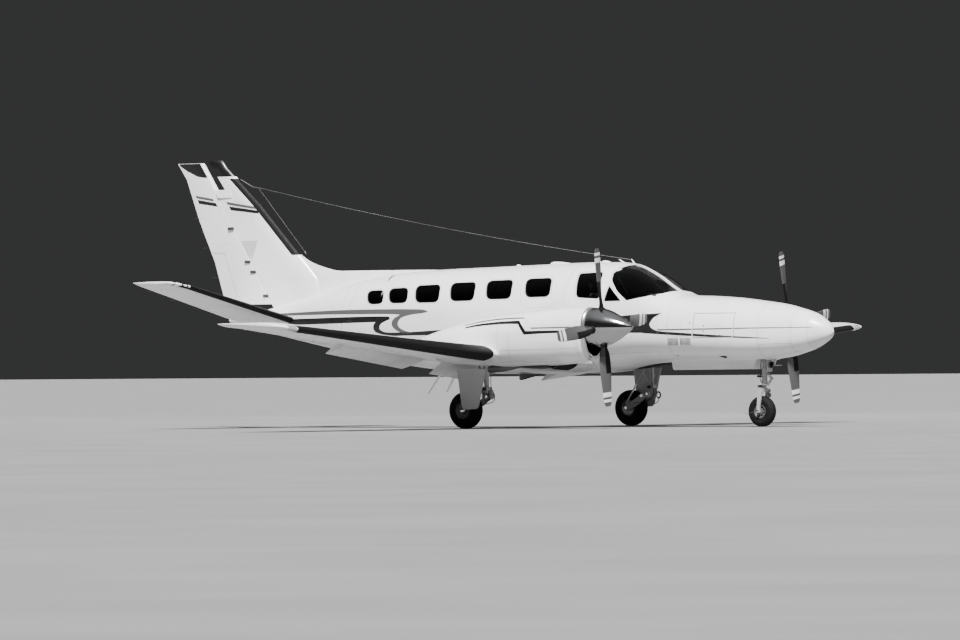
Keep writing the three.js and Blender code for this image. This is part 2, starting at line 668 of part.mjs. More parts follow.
// Tailplane and elevators
const ELEVATOR = { y0: 0.3, y1: 2.6, fraction: 0.62 };
const elevatorEnds = (side) =>
  [ELEVATOR.y0, ELEVATOR.y1].map((y) => hingeOn(TAILPLANE, y, side, ELEVATOR.fraction, 0));
let tailplane = tailplaneRings(0);
for (const [name, side] of SIDES) {
  const ends = side > 0 ? elevatorEnds(side) : elevatorEnds(side).reverse();
  tailplane = tailplane.subtract(hinged(ends, { grow: CLEAR })).add(endPins(ends, false));
  part(`elevator_${name}`, hinged(ends).subtract(endPins(ends, true)), paint(WHITE),
    hingeOf(pt(...ends[0].hinge), pt(...ends[1].hinge)));
}
part("tailplane", tailplane, paint(WHITE));

// Wings, each in one piece with the rear of its nacelle
const FLAP_FRACTION = 0.72;
const SURFACES = {
  flap_inner: { y0: 0.84, y1: 2.08, turn: -FLAP_DOWN },
  flap_outer: { y0: 2.84, y1: 4.9, turn: -FLAP_DOWN },
  aileron: { y0: 4.93, y1: 7.0, turn: 0 },
};
function nacelle(s0, s1, inset, side, n = 24) {
  const rows = NACELLE.filter(([s]) => s > s0 + 0.01 && s < s1 - 0.01);
  const all = [rowAt(NACELLE, s0), ...rows, rowAt(NACELLE, s1)];
  return loft(all.map((row) => ovalRing([...row, 2.3], inset, n, 2.4, ENGINE_Y * side)));
}
// The chin intake: a crescent between the cowl's lip and the round boss behind the spinner
const INTAKE = { top: 1.34, lip: 0.045, boss: 0.235 };
function intakeOutline() {
  const [, , keel, half, mid] = NACELLE[0];
  const reach = mid - keel - INTAKE.lip;
  const outer = [];
  for (let i = 0; i <= 14; i++) {
    const a = rad(192 + (156 * i) / 14);
    const [c, v] = [Math.cos(a), Math.sin(a)];
    const y = Math.sign(c) * Math.abs(c) ** (2 / 2.4) * (half - INTAKE.lip);
    outer.push([y, mid - Math.abs(v) ** (2 / 2.4) * reach]);
  }
  const start = Math.asin((PROP_Z - INTAKE.top) / INTAKE.boss);
  const inner = [];
  for (let i = 0; i <= 10; i++) {
    const a = -start - ((Math.PI - 2 * start) * i) / 10;
    inner.push([INTAKE.boss * Math.cos(a), PROP_Z + INTAKE.boss * Math.sin(a)]);
  }
  return [...outer, ...inner];
}
// The oil cooler's scoop under the cowl: s, z of its lower side, half width
const SCOOP = [
  [3.0, 0.876, 0.1],
  [3.1, 0.868, 0.11],
  [3.4, 0.88, 0.1],
  [3.68, 0.91, 0.06],
];
const scoopBody = (ey, inset, s1) =>
  loft(SCOOP.filter(([s]) => s <= s1).map(([s, low, half]) =>
    [[-1, 0.08], [-1, 0.012], [-0.85, 0], [0.85, 0], [1, 0.012], [1, 0.08]].map(([k, up]) =>
      pt(s - inset, ey + k * (half - inset), low + inset + up))));

for (const [name, side] of SIDES) {
  let wing = loft(WING.map((row) => airfoilRing(row, side, CAMBER)));
  wing = wing.subtract(nacelle(3.3, COWL_REAR_S, -GAP, side));
  wing = wing.add(nacelle(COWL_REAR_S, 5.63, 0, side));
  for (const [surface, { y0, y1, turn }] of Object.entries(SURFACES)) {
    const ends = [y0, y1].map((y) => {
      const end = hingeOn(WING, y, side, FLAP_FRACTION, CAMBER);
      end.slope = (Math.asin(end.rise / end.chord) * 180) / Math.PI;
      return end;
    });
    if (side < 0) ends.reverse();
    wing = wing.subtract(hinged(ends, { grow: CLEAR })).add(endPins(ends, false));
    part(`${surface}_${name}`, hinged(ends, { turn }).subtract(endPins(ends, true)), paint(WHITE),
      hingeOf(pt(...ends[0].hinge), pt(...ends[1].hinge)));
  }
  wing = wing.subtract(hullSpace);
  const slotY = [TRACK_HALF - 0.16, TRACK_HALF + 0.1].map((y) => y * side).sort((a, b) => a - b);
  wing = wing.subtract(box(4.56, 5.05, ...slotY, 0.6, 1.06));
  const pad = (z) => pt(JACK.wingS, JACK.wingY * side, z);
  wing = wing.add(rod(pad(JACK.wingZ + 0.07), pad(JACK.wingZ), JACK.r));
  part(`wing_${name}`, wing, paint(WHITE));

  // Engine cowl with its chin intake, and the engine's block inside
  let cowl = nacelle(COWL_FRONT_S, COWL_REAR_S - GAP, 0, side);
  cowl = cowl.subtract(nacelle(2.56, 3.95, 0.03, side, 20));
  const ey = ENGINE_Y * side;
  const scoop = scoopBody(ey, 0, 3.7).subtract(nacelle(2.56, 3.95, 0.02, side, 20));
  cowl = cowl.add(scoop).subtract(scoopBody(ey, 0.008, 3.2));
  cowl = cowl.subtract(
    frontPrism(intakeOutline().map(([y, z]) => [y + ey, z]), 2.4, 2.6));
  cowl = cowl.subtract(rod(pt(2.4, ey, PROP_Z), pt(2.7, ey, PROP_Z), 0.1, 20));
  part(`cowl_${name}`, cowl, paint(WHITE));
  const shaft = (s0, s1, r) => rod(pt(s0, ey, PROP_Z), pt(s1, ey, PROP_Z), r, 16);
  const engine = box(2.85, 3.95 - GAP, ey - 0.22, ey + 0.22, 1.1, 1.53)
    .subtract(shaft(2.8, 2.93, boreOf(SHAFT_R, 16)));
  part(`engine_${name}`, engine, paint(0x55565a, 0.5, 0.6));

  // Propeller: hub, four twisted blades, and the polished spinner over the hub
  const hubAt = pt(PROP_S, ey, PROP_Z);
  const lean = side > 0 ? -10.3 : -6.6;
  // radius, chord, thickness, pitch in degrees from the plane of rotation
  const BLADE = [
    [0.17, 0.085, 0.085, 40],
    [0.26, 0.09, 0.08, 38],
    [0.4, 0.16, 0.045, 30],
    [0.65, 0.2, 0.028, 18],
    [0.9, 0.185, 0.018, 10],
    [1.08, 0.16, 0.011, 7],
    [PROP_R, 0.12, 0.007, 6],
  ];
  const blades = [];
  for (let k = 0; k < 4; k++) {
    const a = rad(90 * k - lean);
    const out = [0, -Math.sin(a), Math.cos(a)];
    const tangent = [0, Math.cos(a), Math.sin(a)];
    blades.push(
      loft(
        BLADE.map(([r, chord, thick, pitch]) => {
          const p = rad(pitch);
          const along = add(mul(tangent, -Math.cos(p)), mul([1, 0, 0], Math.sin(p)));
          const across = cross(out, along);
          return Array.from({ length: 8 }, (_, i) => {
            const t = (2 * Math.PI * i) / 8;
            const [wide, deep] = [(Math.cos(t) * chord) / 2, (Math.sin(t) * thick) / 2];
            const flat = add(mul(along, wide), mul(across, deep));
            return add(hubAt, mul(add(mul(out, r), flat), 1000));
          });
        }),
      ),
    );
  }
  const hub = turned(pt(SPINNER_BASE_S - 0.0123, ey, PROP_Z), pt(1, ey, PROP_Z),
    [[0, 0.1], [0.05, 0.18], [0.19, 0.18], [0.24, 0.1]], 16);
  const carried = [hub, shaft(SPINNER_BASE_S - 0.03, 2.92, SHAFT_R), ...blades];
  part(`propeller_${name}`, fuse(carried), paint(DARK, 0.45));
  const profile = [
    [0, SPINNER_R],
    [0.1, SPINNER_R - 0.003],
    [0.22, 0.255],
    [0.36, 0.198],
    [0.5, 0.122],
    [0.59, 0.062],
    [0.636, 0.024],
    [SPINNER_BASE_S - SPINNER_TIP_S, 0],
  ];
  const inner = [[0.012, 0.27], [0.22, 0.238], [0.42, 0.15], [0.6, 0]];
  const base = pt(SPINNER_BASE_S, ey, PROP_Z);
  const ahead = pt(1, ey, PROP_Z);
  let spinner = turned(base, ahead, profile, 22).subtract(turned(base, ahead, inner, 16));
  for (let k = 0; k < 4; k++) {
    const a = rad(90 * k - lean);
    const out = add(hubAt, mul([0, -Math.sin(a), Math.cos(a)], 400));
    spinner = spinner.subtract(rod(hubAt, out, 0.062, 8));
  }
  spinner = spinner.subtract(shaft(SPINNER_BASE_S - 0.02, SPINNER_BASE_S + 0.02, SHAFT_R + GAP));
  part(`spinner_${name}`, spinner, paint(0xc8c8ca, 0.15, 1));
}

// Main gear: leg with its side brace and door panel, trailing link with axle, wheel
const PIVOT = [4.62, 0.478];
const PIVOT_PIN_R = 0.02;
const MAIN_AXLE_R = 0.03;
for (const [name, side] of SIDES) {
  const y = TRACK_HALF * side;
  const inboard = (d) => y - d * side;
  const span = (a, b) => [inboard(a), inboard(b)].sort((p, q) => p - q);
  const across = (s, z, a, b, r, n) => rod(pt(s, inboard(a), z), pt(s, inboard(b), z), r, n);
  const leg = fuse([
    rod(pt(4.64, y, 1.05), pt(4.625, y, 0.5), 0.045, 16),
    across(...PIVOT, 0.07, -0.06, 0.05, 20),
    rod(pt(4.64, y, 0.98), pt(4.76, inboard(0.12), 1.04), 0.03, 10),
    rod(pt(4.64, inboard(0.03), 0.62), pt(4.92, inboard(0.13), 1.04), 0.018, 10),
    box(4.62, 4.68, ...span(0, -0.13), 0.74, 0.78),
    box(4.64, 4.7, ...span(0, -0.13), 0.58, 0.61),
    loft([0.125, 0.14].map((d) => [[5.12, 0.87], [4.6, 0.87], [4.74, 0.29], [5.03, 0.28]]
      .map(([s, z]) => pt(s, y + d * side, z)))),
  ]).subtract(across(...PIVOT, 0.2, -0.2, boreOf(PIVOT_PIN_R, 20), 20));
  const arm = (s0, z0, s1, z1, h0, h1) => [
    [s0, z0 + h0], [s1, z1 + h1], [s1 + 0.03, z1], [s1, z1 - h1], [s0, z0 - h0], [s0 - 0.04, z0]];
  const link = fuse([
    sidePrism(arm(...PIVOT, MAIN_AXLE_S, MAIN_TYRE_R, 0.045, 0.045), ...span(0.135, 0.105)),
    across(MAIN_AXLE_S, MAIN_TYRE_R, 0.13, -0.09, MAIN_AXLE_R, 20),
    across(...PIVOT, 0.13, -0.065, PIVOT_PIN_R, 20),
  ]);
  part(`main_leg_${name}`, leg.subtract(box(4, 5.2, -3, 3, 1.0597, 1.3)), paint(0xd0d0ce, 0.5));
  part(`trailing_link_${name}`, link, paint(0xc4c4c2, 0.5));

  const w = MAIN_TYRE_W / 2;
  const tyre = wheelSolid(MAIN_AXLE_S, MAIN_TYRE_R, y - w, [
    [0.01, MAIN_RIM_R],
    [0, 0.18],
    [0.02, 0.24],
    [0.055, 0.266],
    [w, MAIN_TYRE_R],
    [2 * w - 0.055, 0.266],
    [2 * w - 0.02, 0.24],
    [2 * w, 0.18],
    [2 * w - 0.01, MAIN_RIM_R],
  ], 32).subtract(
    wheelSolid(MAIN_AXLE_S, MAIN_TYRE_R, y - 0.2, [[0, MAIN_RIM_R], [0.4, MAIN_RIM_R]], 32));
  part(`main_tyre_${name}`, tyre, paint(0x161616, 0.9));
  const rim = wheelSolid(MAIN_AXLE_S, MAIN_TYRE_R, y - w + 0.02, [
    [0, MAIN_RIM_R - GAP],
    [2 * w - 0.04, MAIN_RIM_R - GAP],
  ], 32).subtract(wheelSolid(MAIN_AXLE_S, MAIN_TYRE_R, y - 0.2,
    [[0, boreOf(MAIN_AXLE_R, 20)], [0.4, boreOf(MAIN_AXLE_R, 20)]], 20));
  part(`main_rim_${name}`, rim, paint(0xb4b4b2, 0.4, 0.5));
}

// Nose gear: leg in the well, steered fork with the axle, wheel, and the two long doors
const steer = (z) => pt(1.2 - (0.035 * (z - 0.62)) / 0.579, 0, z);
const STEER_PIN_R = 0.02;
const NOSE_AXLE_R = 0.02;
const noseLeg = fuse([
  rod(steer(1.199), steer(0.62), 0.042, 16),
  rod(pt(1.166, -0.12, 1.13), pt(1.166, 0.12, 1.13), 0.025, 12),
  rod(pt(1.18, 0, 0.95), pt(1.45, 0, 1.19), 0.02, 10),
  box(1.105, 1.117, -0.06, 0.06, 0.81, 0.97),
  box(1.11, 1.17, -0.012, 0.012, 0.88, 0.92),
]);
const steerBore = rod(steer(0.6), steer(0.7), boreOf(STEER_PIN_R), PIN_SIDES);
part("nose_leg", noseLeg.subtract(box(0.8, 2, -1, 1, 1.1997, 1.4)).subtract(steerBore),
  paint(0xd0d0ce, 0.5));
const forkArm = (y0, y1) =>
  sidePrism([[1.17, 0.56], [1.24, 0.56], [1.27, 0.225], [1.21, 0.2]], y0, y1);
const fork = fuse([
  rod(steer(0.612), steer(0.5), 0.036, 16),
  rod(steer(0.69), steer(0.55), STEER_PIN_R, PIN_SIDES),
  box(1.17, 1.24, -0.115, 0.115, 0.5, 0.56),
  forkArm(0.09, 0.115),
  forkArm(-0.115, -0.09),
  rod(pt(NOSE_AXLE_S, -0.12, NOSE_TYRE_R), pt(NOSE_AXLE_S, 0.12, NOSE_TYRE_R), NOSE_AXLE_R, 16),
]);
part("nose_fork", fork, paint(0xc4c4c2, 0.5));
const nw = NOSE_TYRE_W / 2;
const noseTyre = wheelSolid(NOSE_AXLE_S, NOSE_TYRE_R, -nw, [
  [0.01, NOSE_RIM_R],
  [0, 0.145],
  [0.018, 0.2],
  [0.045, 0.222],
  [nw, NOSE_TYRE_R],
  [2 * nw - 0.045, 0.222],
  [2 * nw - 0.018, 0.2],
  [2 * nw, 0.145],
  [2 * nw - 0.01, NOSE_RIM_R],
], 28).subtract(
  wheelSolid(NOSE_AXLE_S, NOSE_TYRE_R, -0.2, [[0, NOSE_RIM_R], [0.4, NOSE_RIM_R]], 28));
part("nose_tyre", noseTyre, paint(0x161616, 0.9));
const noseRim = wheelSolid(NOSE_AXLE_S, NOSE_TYRE_R, -nw + 0.012, [
  [0, NOSE_RIM_R - GAP],
  [2 * nw - 0.024, NOSE_RIM_R - GAP],
], 28).subtract(wheelSolid(NOSE_AXLE_S, NOSE_TYRE_R, -0.2,
  [[0, boreOf(NOSE_AXLE_R, 16)], [0.4, boreOf(NOSE_AXLE_R, 16)]], 16));
part("nose_rim", noseRim, paint(0xb4b4b2, 0.4, 0.5));
for (const [name, side] of SIDES) {
  const [a, b] = [0.155, 0.1695].map((y) => y * side).sort((p, q) => p - q);
  const door = sidePrism([[1.29, 0.84], [2.68, 0.835], [2.72, 1.02], [1.2, 1.02]], a, b);
  part(`nose_gear_door_${name}`, door, paint(WHITE));
}

export default group;
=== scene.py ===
"""A twin turboprop aircraft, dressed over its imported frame.

Stations are in metres: s aft of the nose tip, y to port, z above the ground.
Every piece is built in the part's own frame: +X towards the nose, +Y to port, +Z up.
"""
import math

import bmesh
import bpy
import numpy as np
from mathutils import Matrix, Vector
from mathutils.geometry import delaunay_2d_cdt


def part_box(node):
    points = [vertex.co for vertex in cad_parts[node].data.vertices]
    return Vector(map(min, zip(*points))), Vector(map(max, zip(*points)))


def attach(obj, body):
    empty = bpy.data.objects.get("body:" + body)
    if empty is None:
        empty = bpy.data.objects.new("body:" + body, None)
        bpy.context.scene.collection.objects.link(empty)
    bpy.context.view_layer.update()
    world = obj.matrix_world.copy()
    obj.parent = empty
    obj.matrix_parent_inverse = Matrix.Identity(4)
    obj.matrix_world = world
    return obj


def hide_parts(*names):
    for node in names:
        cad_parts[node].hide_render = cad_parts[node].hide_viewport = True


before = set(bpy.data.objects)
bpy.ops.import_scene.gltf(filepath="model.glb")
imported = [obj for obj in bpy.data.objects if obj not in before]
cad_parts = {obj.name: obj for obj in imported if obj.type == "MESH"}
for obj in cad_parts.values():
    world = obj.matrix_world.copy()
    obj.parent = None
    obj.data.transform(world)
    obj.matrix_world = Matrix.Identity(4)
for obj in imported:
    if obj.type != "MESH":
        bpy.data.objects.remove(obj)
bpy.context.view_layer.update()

# Sizes and tables
NOSE_X = 5.945
SIDES = {"left": 1, "right": -1}
WALL = 0.05
HAIR = 0.0003  # gap between pieces that butt together
AHEAD = np.array((1.0, 0, 0))
TO_PORT = np.array((0, 1.0, 0))
UP = np.array((0, 0, 1.0))

# The camera that took the photograph, fitted to the aircraft
CAMERA_AT = (69.83259, -98.8809982, 0.9329776)
CAMERA_YAW, CAMERA_PITCH, CAMERA_ROLL = 0.6169915, 0.0054935, -0.0075106
CAMERA_FOCUS = 8145.3044923 / 960

# Fuselage sections
# s, crown z, keel z, half width, z of the widest line, power of the upper curve
FUSELAGE = [
    (0.0, 1.378, 1.362, 0.008, 1.37, 2),
    (0.03, 1.447, 1.312, 0.066, 1.37, 2),
    (0.08, 1.51, 1.264, 0.12, 1.37, 2),
    (0.16, 1.57, 1.216, 0.176, 1.37, 2),
    (0.3, 1.648, 1.145, 0.25, 1.362, 2.05),
    (0.5, 1.709, 1.077, 0.325, 1.355, 2.1),
    (0.8, 1.78, 1.008, 0.41, 1.35, 2.15),
    (1.15, 1.829, 0.972, 0.487, 1.35, 2.2),
    (1.62, 1.883, 0.958, 0.565, 1.36, 2.2),
    (2.1, 1.913, 0.957, 0.62, 1.38, 2.3),
    (2.36, 1.92, 0.956, 0.645, 1.4, 2.4),
    (2.5, 1.943, 0.955, 0.658, 1.41, 2.45),
    (2.66, 2.005, 0.952, 0.67, 1.43, 2.55),
    (3.02, 2.228, 0.94, 0.695, 1.47, 2.75),
    (3.34, 2.374, 0.9, 0.715, 1.5, 2.55),
    (3.5, 2.405, 0.87, 0.723, 1.515, 2.4),
    (3.725, 2.425, 0.845, 0.733, 1.53, 2.3),
    (4.1, 2.43, 0.812, 0.745, 1.55, 2.2),
    (5.16, 2.405, 0.79, 0.75, 1.56, 2.2),
    (6.0, 2.381, 0.8, 0.75, 1.56, 2.2),
    (6.8, 2.36, 0.85, 0.742, 1.56, 2.2),
    (7.5, 2.325, 0.93, 0.715, 1.57, 2.2),
    (8.0, 2.275, 1.01, 0.668, 1.58, 2.2),
    (8.4, 2.215, 1.09, 0.61, 1.59, 2.2),
    (8.8, 2.13, 1.17, 0.535, 1.6, 2.2),
    (9.5, 1.955, 1.31, 0.375, 1.61, 2.2),
    (10.15, 1.8, 1.44, 0.225, 1.62, 2.1),
    (10.6, 1.72, 1.53, 0.12, 1.63, 2),
    (10.9, 1.672, 1.6, 0.045, 1.64, 2),
]
LOWER_POWER = 2.5
CAP_S, NOSE_REAR_S, CABIN_REAR_S, TAIL_S = 0.3, 2.455, 8.36, 10.9

# Wing stations: y, leading edge s, leading edge z, chord, thickness ratio, incidence
WING = [
    (0.42, 3.84, 0.958, 2.02, 0.17, 2.0),
    (0.74, 3.88, 0.965, 1.97, 0.17, 2.0),
    (2.446, 3.966, 1.062, 1.735, 0.16, 1.0),
    (7.2, 4.273, 1.452, 1.083, 0.12, -1.2),
    (7.43, 4.291, 1.471, 1.112, 0.09, -1.4),
    (7.49, 4.33, 1.484, 1.11, 0.055, -1.8),
    (7.52, 4.42, 1.494, 1.03, 0.025, -2.2),
]
CAMBER = 0.015
# Tailplane stations, same columns
TAILPLANE = [
    (0, 9.4, 1.556, 1.2, 0.11, 0),
    (0.12, 9.41, 1.582, 1.19, 0.11, 0),
    (2.7, 9.62, 2.13, 0.895, 0.1, 0),
    (2.8, 9.69, 2.155, 0.83, 0.09, 0),
    (2.86, 9.78, 2.175, 0.745, 0.08, 0),
    (2.9, 9.9, 2.19, 0.63, 0.045, 0),
]
# Fin stations: z, leading edge s, greatest half thickness
FIN = [
    (1.78, 8.9, 0.1),
    (2.25, 9.215, 0.096),
    (2.613, 9.56, 0.092),
    (3.382, 10.295, 0.075),
    (3.96, 10.93, 0.062),
    (4.045, 11.0, 0.055),
    (4.074, 11.03, 0.035),
]
FIN_CAP_Z, RUDDER_CAP_Z = 3.822, 4.0  # where the black caps start
# Rudder: z, hinge s, rear edge s, nose radius
RUDDER = [
    (1.875, 10.1, 10.995, 0.07),
    (2.529, 10.505, 11.198, 0.064),
    (3.143, 10.885, 11.48, 0.056),
    (3.79, 11.285, 11.723, 0.047),
    (4.035, 11.437, 11.89, 0.04),
]
# Nacelle sections: s, crown z, keel z, half width, z of the widest line
NACELLE = [
    (2.51, 1.745, 1.0, 0.27, 1.42),
    (2.62, 1.752, 0.965, 0.3, 1.4),
    (2.85, 1.755, 0.938, 0.33, 1.38),
    (3.37, 1.724, 0.908, 0.345, 1.35),
    (4.0, 1.664, 0.9, 0.34, 1.3),
    (4.52, 1.597, 0.95, 0.305, 1.28),
    (4.97, 1.499, 1.02, 0.235, 1.25),
    (5.38, 1.386, 1.09, 0.13, 1.2),
    (5.63, 1.3, 1.12, 0.03, 1.18),
]
ENGINE_Y = 2.446
PROP_S, PROP_Z = 2.365, 1.455
SPINNER_BASE_S = 2.485
COWL_LIP_S, COWL_REAR_S = 2.56, 4.0
NACELLE_POWERS = (2.3, 2.4)  # upper and lower curve

# Landing gear
TRACK_HALF = 2.14
MAIN_AXLE_S, MAIN_TYRE_R, MAIN_TYRE_W, MAIN_RIM_R = 5.0, 0.27, 0.185, 0.125
NOSE_AXLE_S, NOSE_TYRE_R, NOSE_TYRE_W, NOSE_RIM_R = 1.24, 0.225, 0.15, 0.1

# Control surfaces
CLEAR = 0.008
FLAP_DOWN = 24
FLAP_FRACTION = 0.72
SURFACES = {
    "flap_inner": (0.84, 2.08, -FLAP_DOWN),
    "flap_outer": (2.84, 4.9, -FLAP_DOWN),
    "aileron": (4.93, 7.0, 0),
}
ELEVATOR_Y = (0.3, 2.6)
ELEVATOR_FRACTION = 0.62

# Cabin windows, aft to forward: rear s, front s, lower z, upper z
WINDOWS = [
    (7.9, 7.59, 1.855, 2.055),
    (7.48, 7.13, 1.865, 2.085),
    (6.985, 6.545, 1.868, 2.125),
    (6.345, 5.905, 1.885, 2.155),
    (5.695, 5.24, 1.905, 2.18),
    (4.995, 4.545, 1.928, 2.2),
]
AFT_PANE = [(4.14, 2.275), (3.69, 2.29), (3.62, 1.87), (4.05, 1.895)]
CORNER_PANE = [(3.5, 2.08), (3.545, 1.845), (3.25, 1.85)]
SCREEN_STRIP = 0.035  # half width of the windscreen's centre post
COCKPIT_REAR_S = 4.3  # panes ahead of this are the cockpit's
SCREEN_PANE = [
    (2.4, 2.02), (2.62, 1.99), (2.69, 1.94), (2.88, 1.895), (3.17, 1.84), (3.35, 1.975),
    (3.51, 2.15), (3.54, 2.25), (3.5, 2.335), (3.42, 2.385), (3.33, 2.5), (2.4, 2.5),
]
DOOR = {"s": 7.235, "half": 0.29, "low": 1.12, "split": 1.62, "high": 2.16}
BAY = {"s": 1.72, "half": 0.33, "low": 1.3, "high": 1.66}
# Nose gear well: s from and to, y from and to, z from and to
WELL = (1.1, 2.74, -0.17, 0.17, 0.8, 1.2)

# Propeller blade: radius, chord, thickness, pitch in degrees
BLADES = [
    (0.17, 0.085, 0.085, 40),
    (0.26, 0.09, 0.08, 38),
    (0.4, 0.16, 0.045, 30),
    (0.65, 0.2, 0.028, 18),
    (0.9, 0.185, 0.018, 10),
    (1.08, 0.16, 0.011, 7),
    (1.143, 0.12, 0.007, 6),
]
LEAN = {"left": 10.3, "right": 6.6}  # degrees that each propeller stands off the vertical
TIP_BANDS = [(0.94, 1.005), (1.04, 1.08)]
# Spinner: distance from its base, radius
SPINNER = [
    (0, 0.285), (0.1, 0.282), (0.22, 0.255), (0.36, 0.198), (0.5, 0.122), (0.59, 0.062),
    (0.636, 0.024), (0.649, 0.001),
]
# Scoop under the cowl: s, z of its lower side, half width
SCOOP = [(3.25, 0.876, 0.1), (3.35, 0.868, 0.11), (3.65, 0.88, 0.1), (3.93, 0.905, 0.06)]
SCOOP_MOUTH = 0.3  # depth of the hollow behind its mouth
INTAKE = {"top": 1.34, "lip": 0.045, "boss": 0.235}

# Thin things laid on the skins
SEAM_WIDTH = 0.0028
BOOT_LIFT = 0.0016


# Points and curves
def pt(s, y, z):
    """A point from its station, distance to port and height."""
    return np.array((NOSE_X - s, y, z), float)


def unit(v):
    v = np.asarray(v, float)
    return v / np.linalg.norm(v)


def rows_at(table, at):
    """Rows of a table at any values of its first column, on monotone curves through it."""
    t = np.array(table, float)
    x, y = t[:, 0], t[:, 1:]
    at = np.clip(np.atleast_1d(np.asarray(at, float)), x[0], x[-1])
    h = np.diff(x)[:, None]
    d = np.diff(y, axis=0) / h
    m = np.vstack([d[:1], np.zeros((len(x) - 2, y.shape[1])), d[-1:]])
    both = d[:-1] * d[1:] > 0
    total = np.where(both, d[:-1] + d[1:], 1)
    m[1:-1] = np.where(both, 2 * d[:-1] * d[1:] / total, 0)
    i = np.clip(np.searchsorted(x, at, side="right") - 1, 0, len(x) - 2)
    k = ((at - x[i]) / h[i, 0])[:, None]
    span = h[i]
    out = (
        y[i] * (1 + 2 * k) * (1 - k) ** 2
        + m[i] * span * k * (1 - k) ** 2
        + y[i + 1] * k * k * (3 - 2 * k)
        + m[i + 1] * span * k * k * (k - 1)
    )
    return np.hstack([at[:, None], out])


def straight_row(table, at):
    """A row of a table at one value of its first column, on straight lines."""
    t = np.array(table, float)
    i = int(np.clip(np.searchsorted(t[:, 0], at) - 1, 0, len(t) - 2))
    k = (at - t[i, 0]) / (t[i + 1, 0] - t[i, 0])
    return t[i] + (t[i + 1] - t[i]) * k


def rounded(corners, radius, steps=8):
    """An outline with its corners rounded off."""
    corners = [np.array(c, float) for c in corners]
    out = []
    for i, corner in enumerate(corners):
        ends = []
        for other in (corners[i - 1], corners[(i + 1) % len(corners)]):
            d = other - corner
            length = np.linalg.norm(d)
            ends.append(corner + d * min(radius, length * 0.45) / length)
        for j in range(steps + 1):
            t = j / steps
            out.append(ends[0] * (1 - t) ** 2 + corner * 2 * t * (1 - t) + ends[1] * t * t)
    return out


def spline(points, per_span=8):
    """Points along a smooth curve through the given ones."""
    p = [np.array(q, float) for q in points]
    out = []
    for i in range(len(p) - 1):
        a, b = p[i], p[i + 1]
        before = p[i - 1] if i > 0 else a * 2 - b
        after = p[i + 2] if i + 2 < len(p) else b * 2 - a
        for j in range(per_span):
            t = j / per_span
            out.append(
                0.5 * (2 * a + (b - before) * t + (2 * before - 5 * a + 4 * b - after) * t * t
                       + (3 * a - before - 3 * b + after) * t ** 3)
            )
    out.append(p[-1])
    return out


# Meshes
def loft(rings, closed=True, caps=True):
    """Vertices and faces of a skin over rings of equal length."""
    n = len(rings[0])
    verts = [tuple(p) for ring in rings for p in ring]
    faces = []
    for i in range(len(rings) - 1):
        for j in range(n if closed else n - 1):
            k = (j + 1) % n
            faces.append((i * n + j, (i + 1) * n + j, (i + 1) * n + k, i * n + k))
    if caps:
        faces.append(tuple(range(n)))
        last = (len(rings) - 1) * n
        faces.append(tuple(last + j for j in reversed(range(n))))
    return verts, faces


def merged(parts):
    """Several (vertices, faces) as one."""
    verts, faces = [], []
    for v, f in parts:
        base = len(verts)
        verts.extend(tuple(p) for p in v)
        faces.extend(tuple(base + i for i in face) for face in f)
    return verts, faces


def add_mesh(name, shape, mat=None, body=None, smooth=32, replaces=()):
    """An object from (vertices, faces), with outward faces, smooth up to an angle."""
    name = name.replace(" ", "_")
    mesh = bpy.data.meshes.new(name)
    mesh.from_pydata([tuple(map(float, v)) for v in shape[0]], [], shape[1])
    piece = bpy.data.objects.new(name, mesh)
    bpy.context.scene.collection.objects.link(piece)
    face_outwards(mesh)
    finish_mesh(piece, mat, body, smooth, replaces)
    return piece


def face_outwards(mesh):
    bm = bmesh.new()
    bm.from_mesh(mesh)
    bmesh.ops.recalc_face_normals(bm, faces=bm.faces)
    bm.to_mesh(mesh)
    bm.free()


def finish_mesh(piece, mat, body, smooth=32, replaces=()):
    mesh = piece.data
    if mat is not None:
        mesh.materials.clear()
        mesh.materials.append(mat)
    if smooth:
        mesh.shade_smooth()
        mesh.set_sharp_from_angle(angle=math.radians(smooth))
    if body:
        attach(piece, body)
    if replaces:
        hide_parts(*replaces)


def combine(piece, shape, operation="DIFFERENCE"):
    """Cuts a closed shape from a piece, or keeps only what lies in both."""
    cutter = add_mesh("cutter", shape, smooth=0)
    change = piece.modifiers.new("combine", "BOOLEAN")
    change.operation = operation
    change.solver = "EXACT"
    change.object = cutter
    bpy.context.view_layer.update()
    graph = bpy.context.evaluated_depsgraph_get()
    result = bpy.data.meshes.new_from_object(piece.evaluated_get(graph))
    piece.modifiers.clear()
    old = piece.data
    piece.data = result
    bpy.data.meshes.remove(old)
    bpy.data.objects.remove(cutter)
    return piece


def prism(outline, lift, axis):
    """A closed body from an outline in side view (s, z), front (y, z) or plan (s, y)."""
    place = {
        "side": lambda p, t: pt(p[0], t, p[1]),
        "front": lambda p, t: pt(t, p[0], p[1]),
        "plan": lambda p, t: pt(p[0], p[1], t),
    }[axis]
    return loft([[place(p, t) for p in outline] for t in lift])


def block(s0, s1, y0, y1, z0, z1):
    return prism([(s0, y0), (s1, y0), (s1, y1), (s0, y1)], (z0, z1), "plan")


def turned_block(s, y, yaw, half, inward, outward, z0, z1):
    """A block turned about the vertical, inward and outward measured from (s, y)."""
    c, n = math.cos(yaw), math.sin(yaw)
    corners = [(-half, -inward), (half, -inward), (half, outward), (-half, outward)]
    return prism([(s + a * c + b * n, y - a * n + b * c) for a, b in corners], (z0, z1), "plan")


def frame_across(direction):
    d = unit(direction)
    side = unit(np.cross(d, (0, 0, 1) if abs(d[2]) < 0.9 else (1, 0, 0)))
    return d, side, np.cross(side, d)


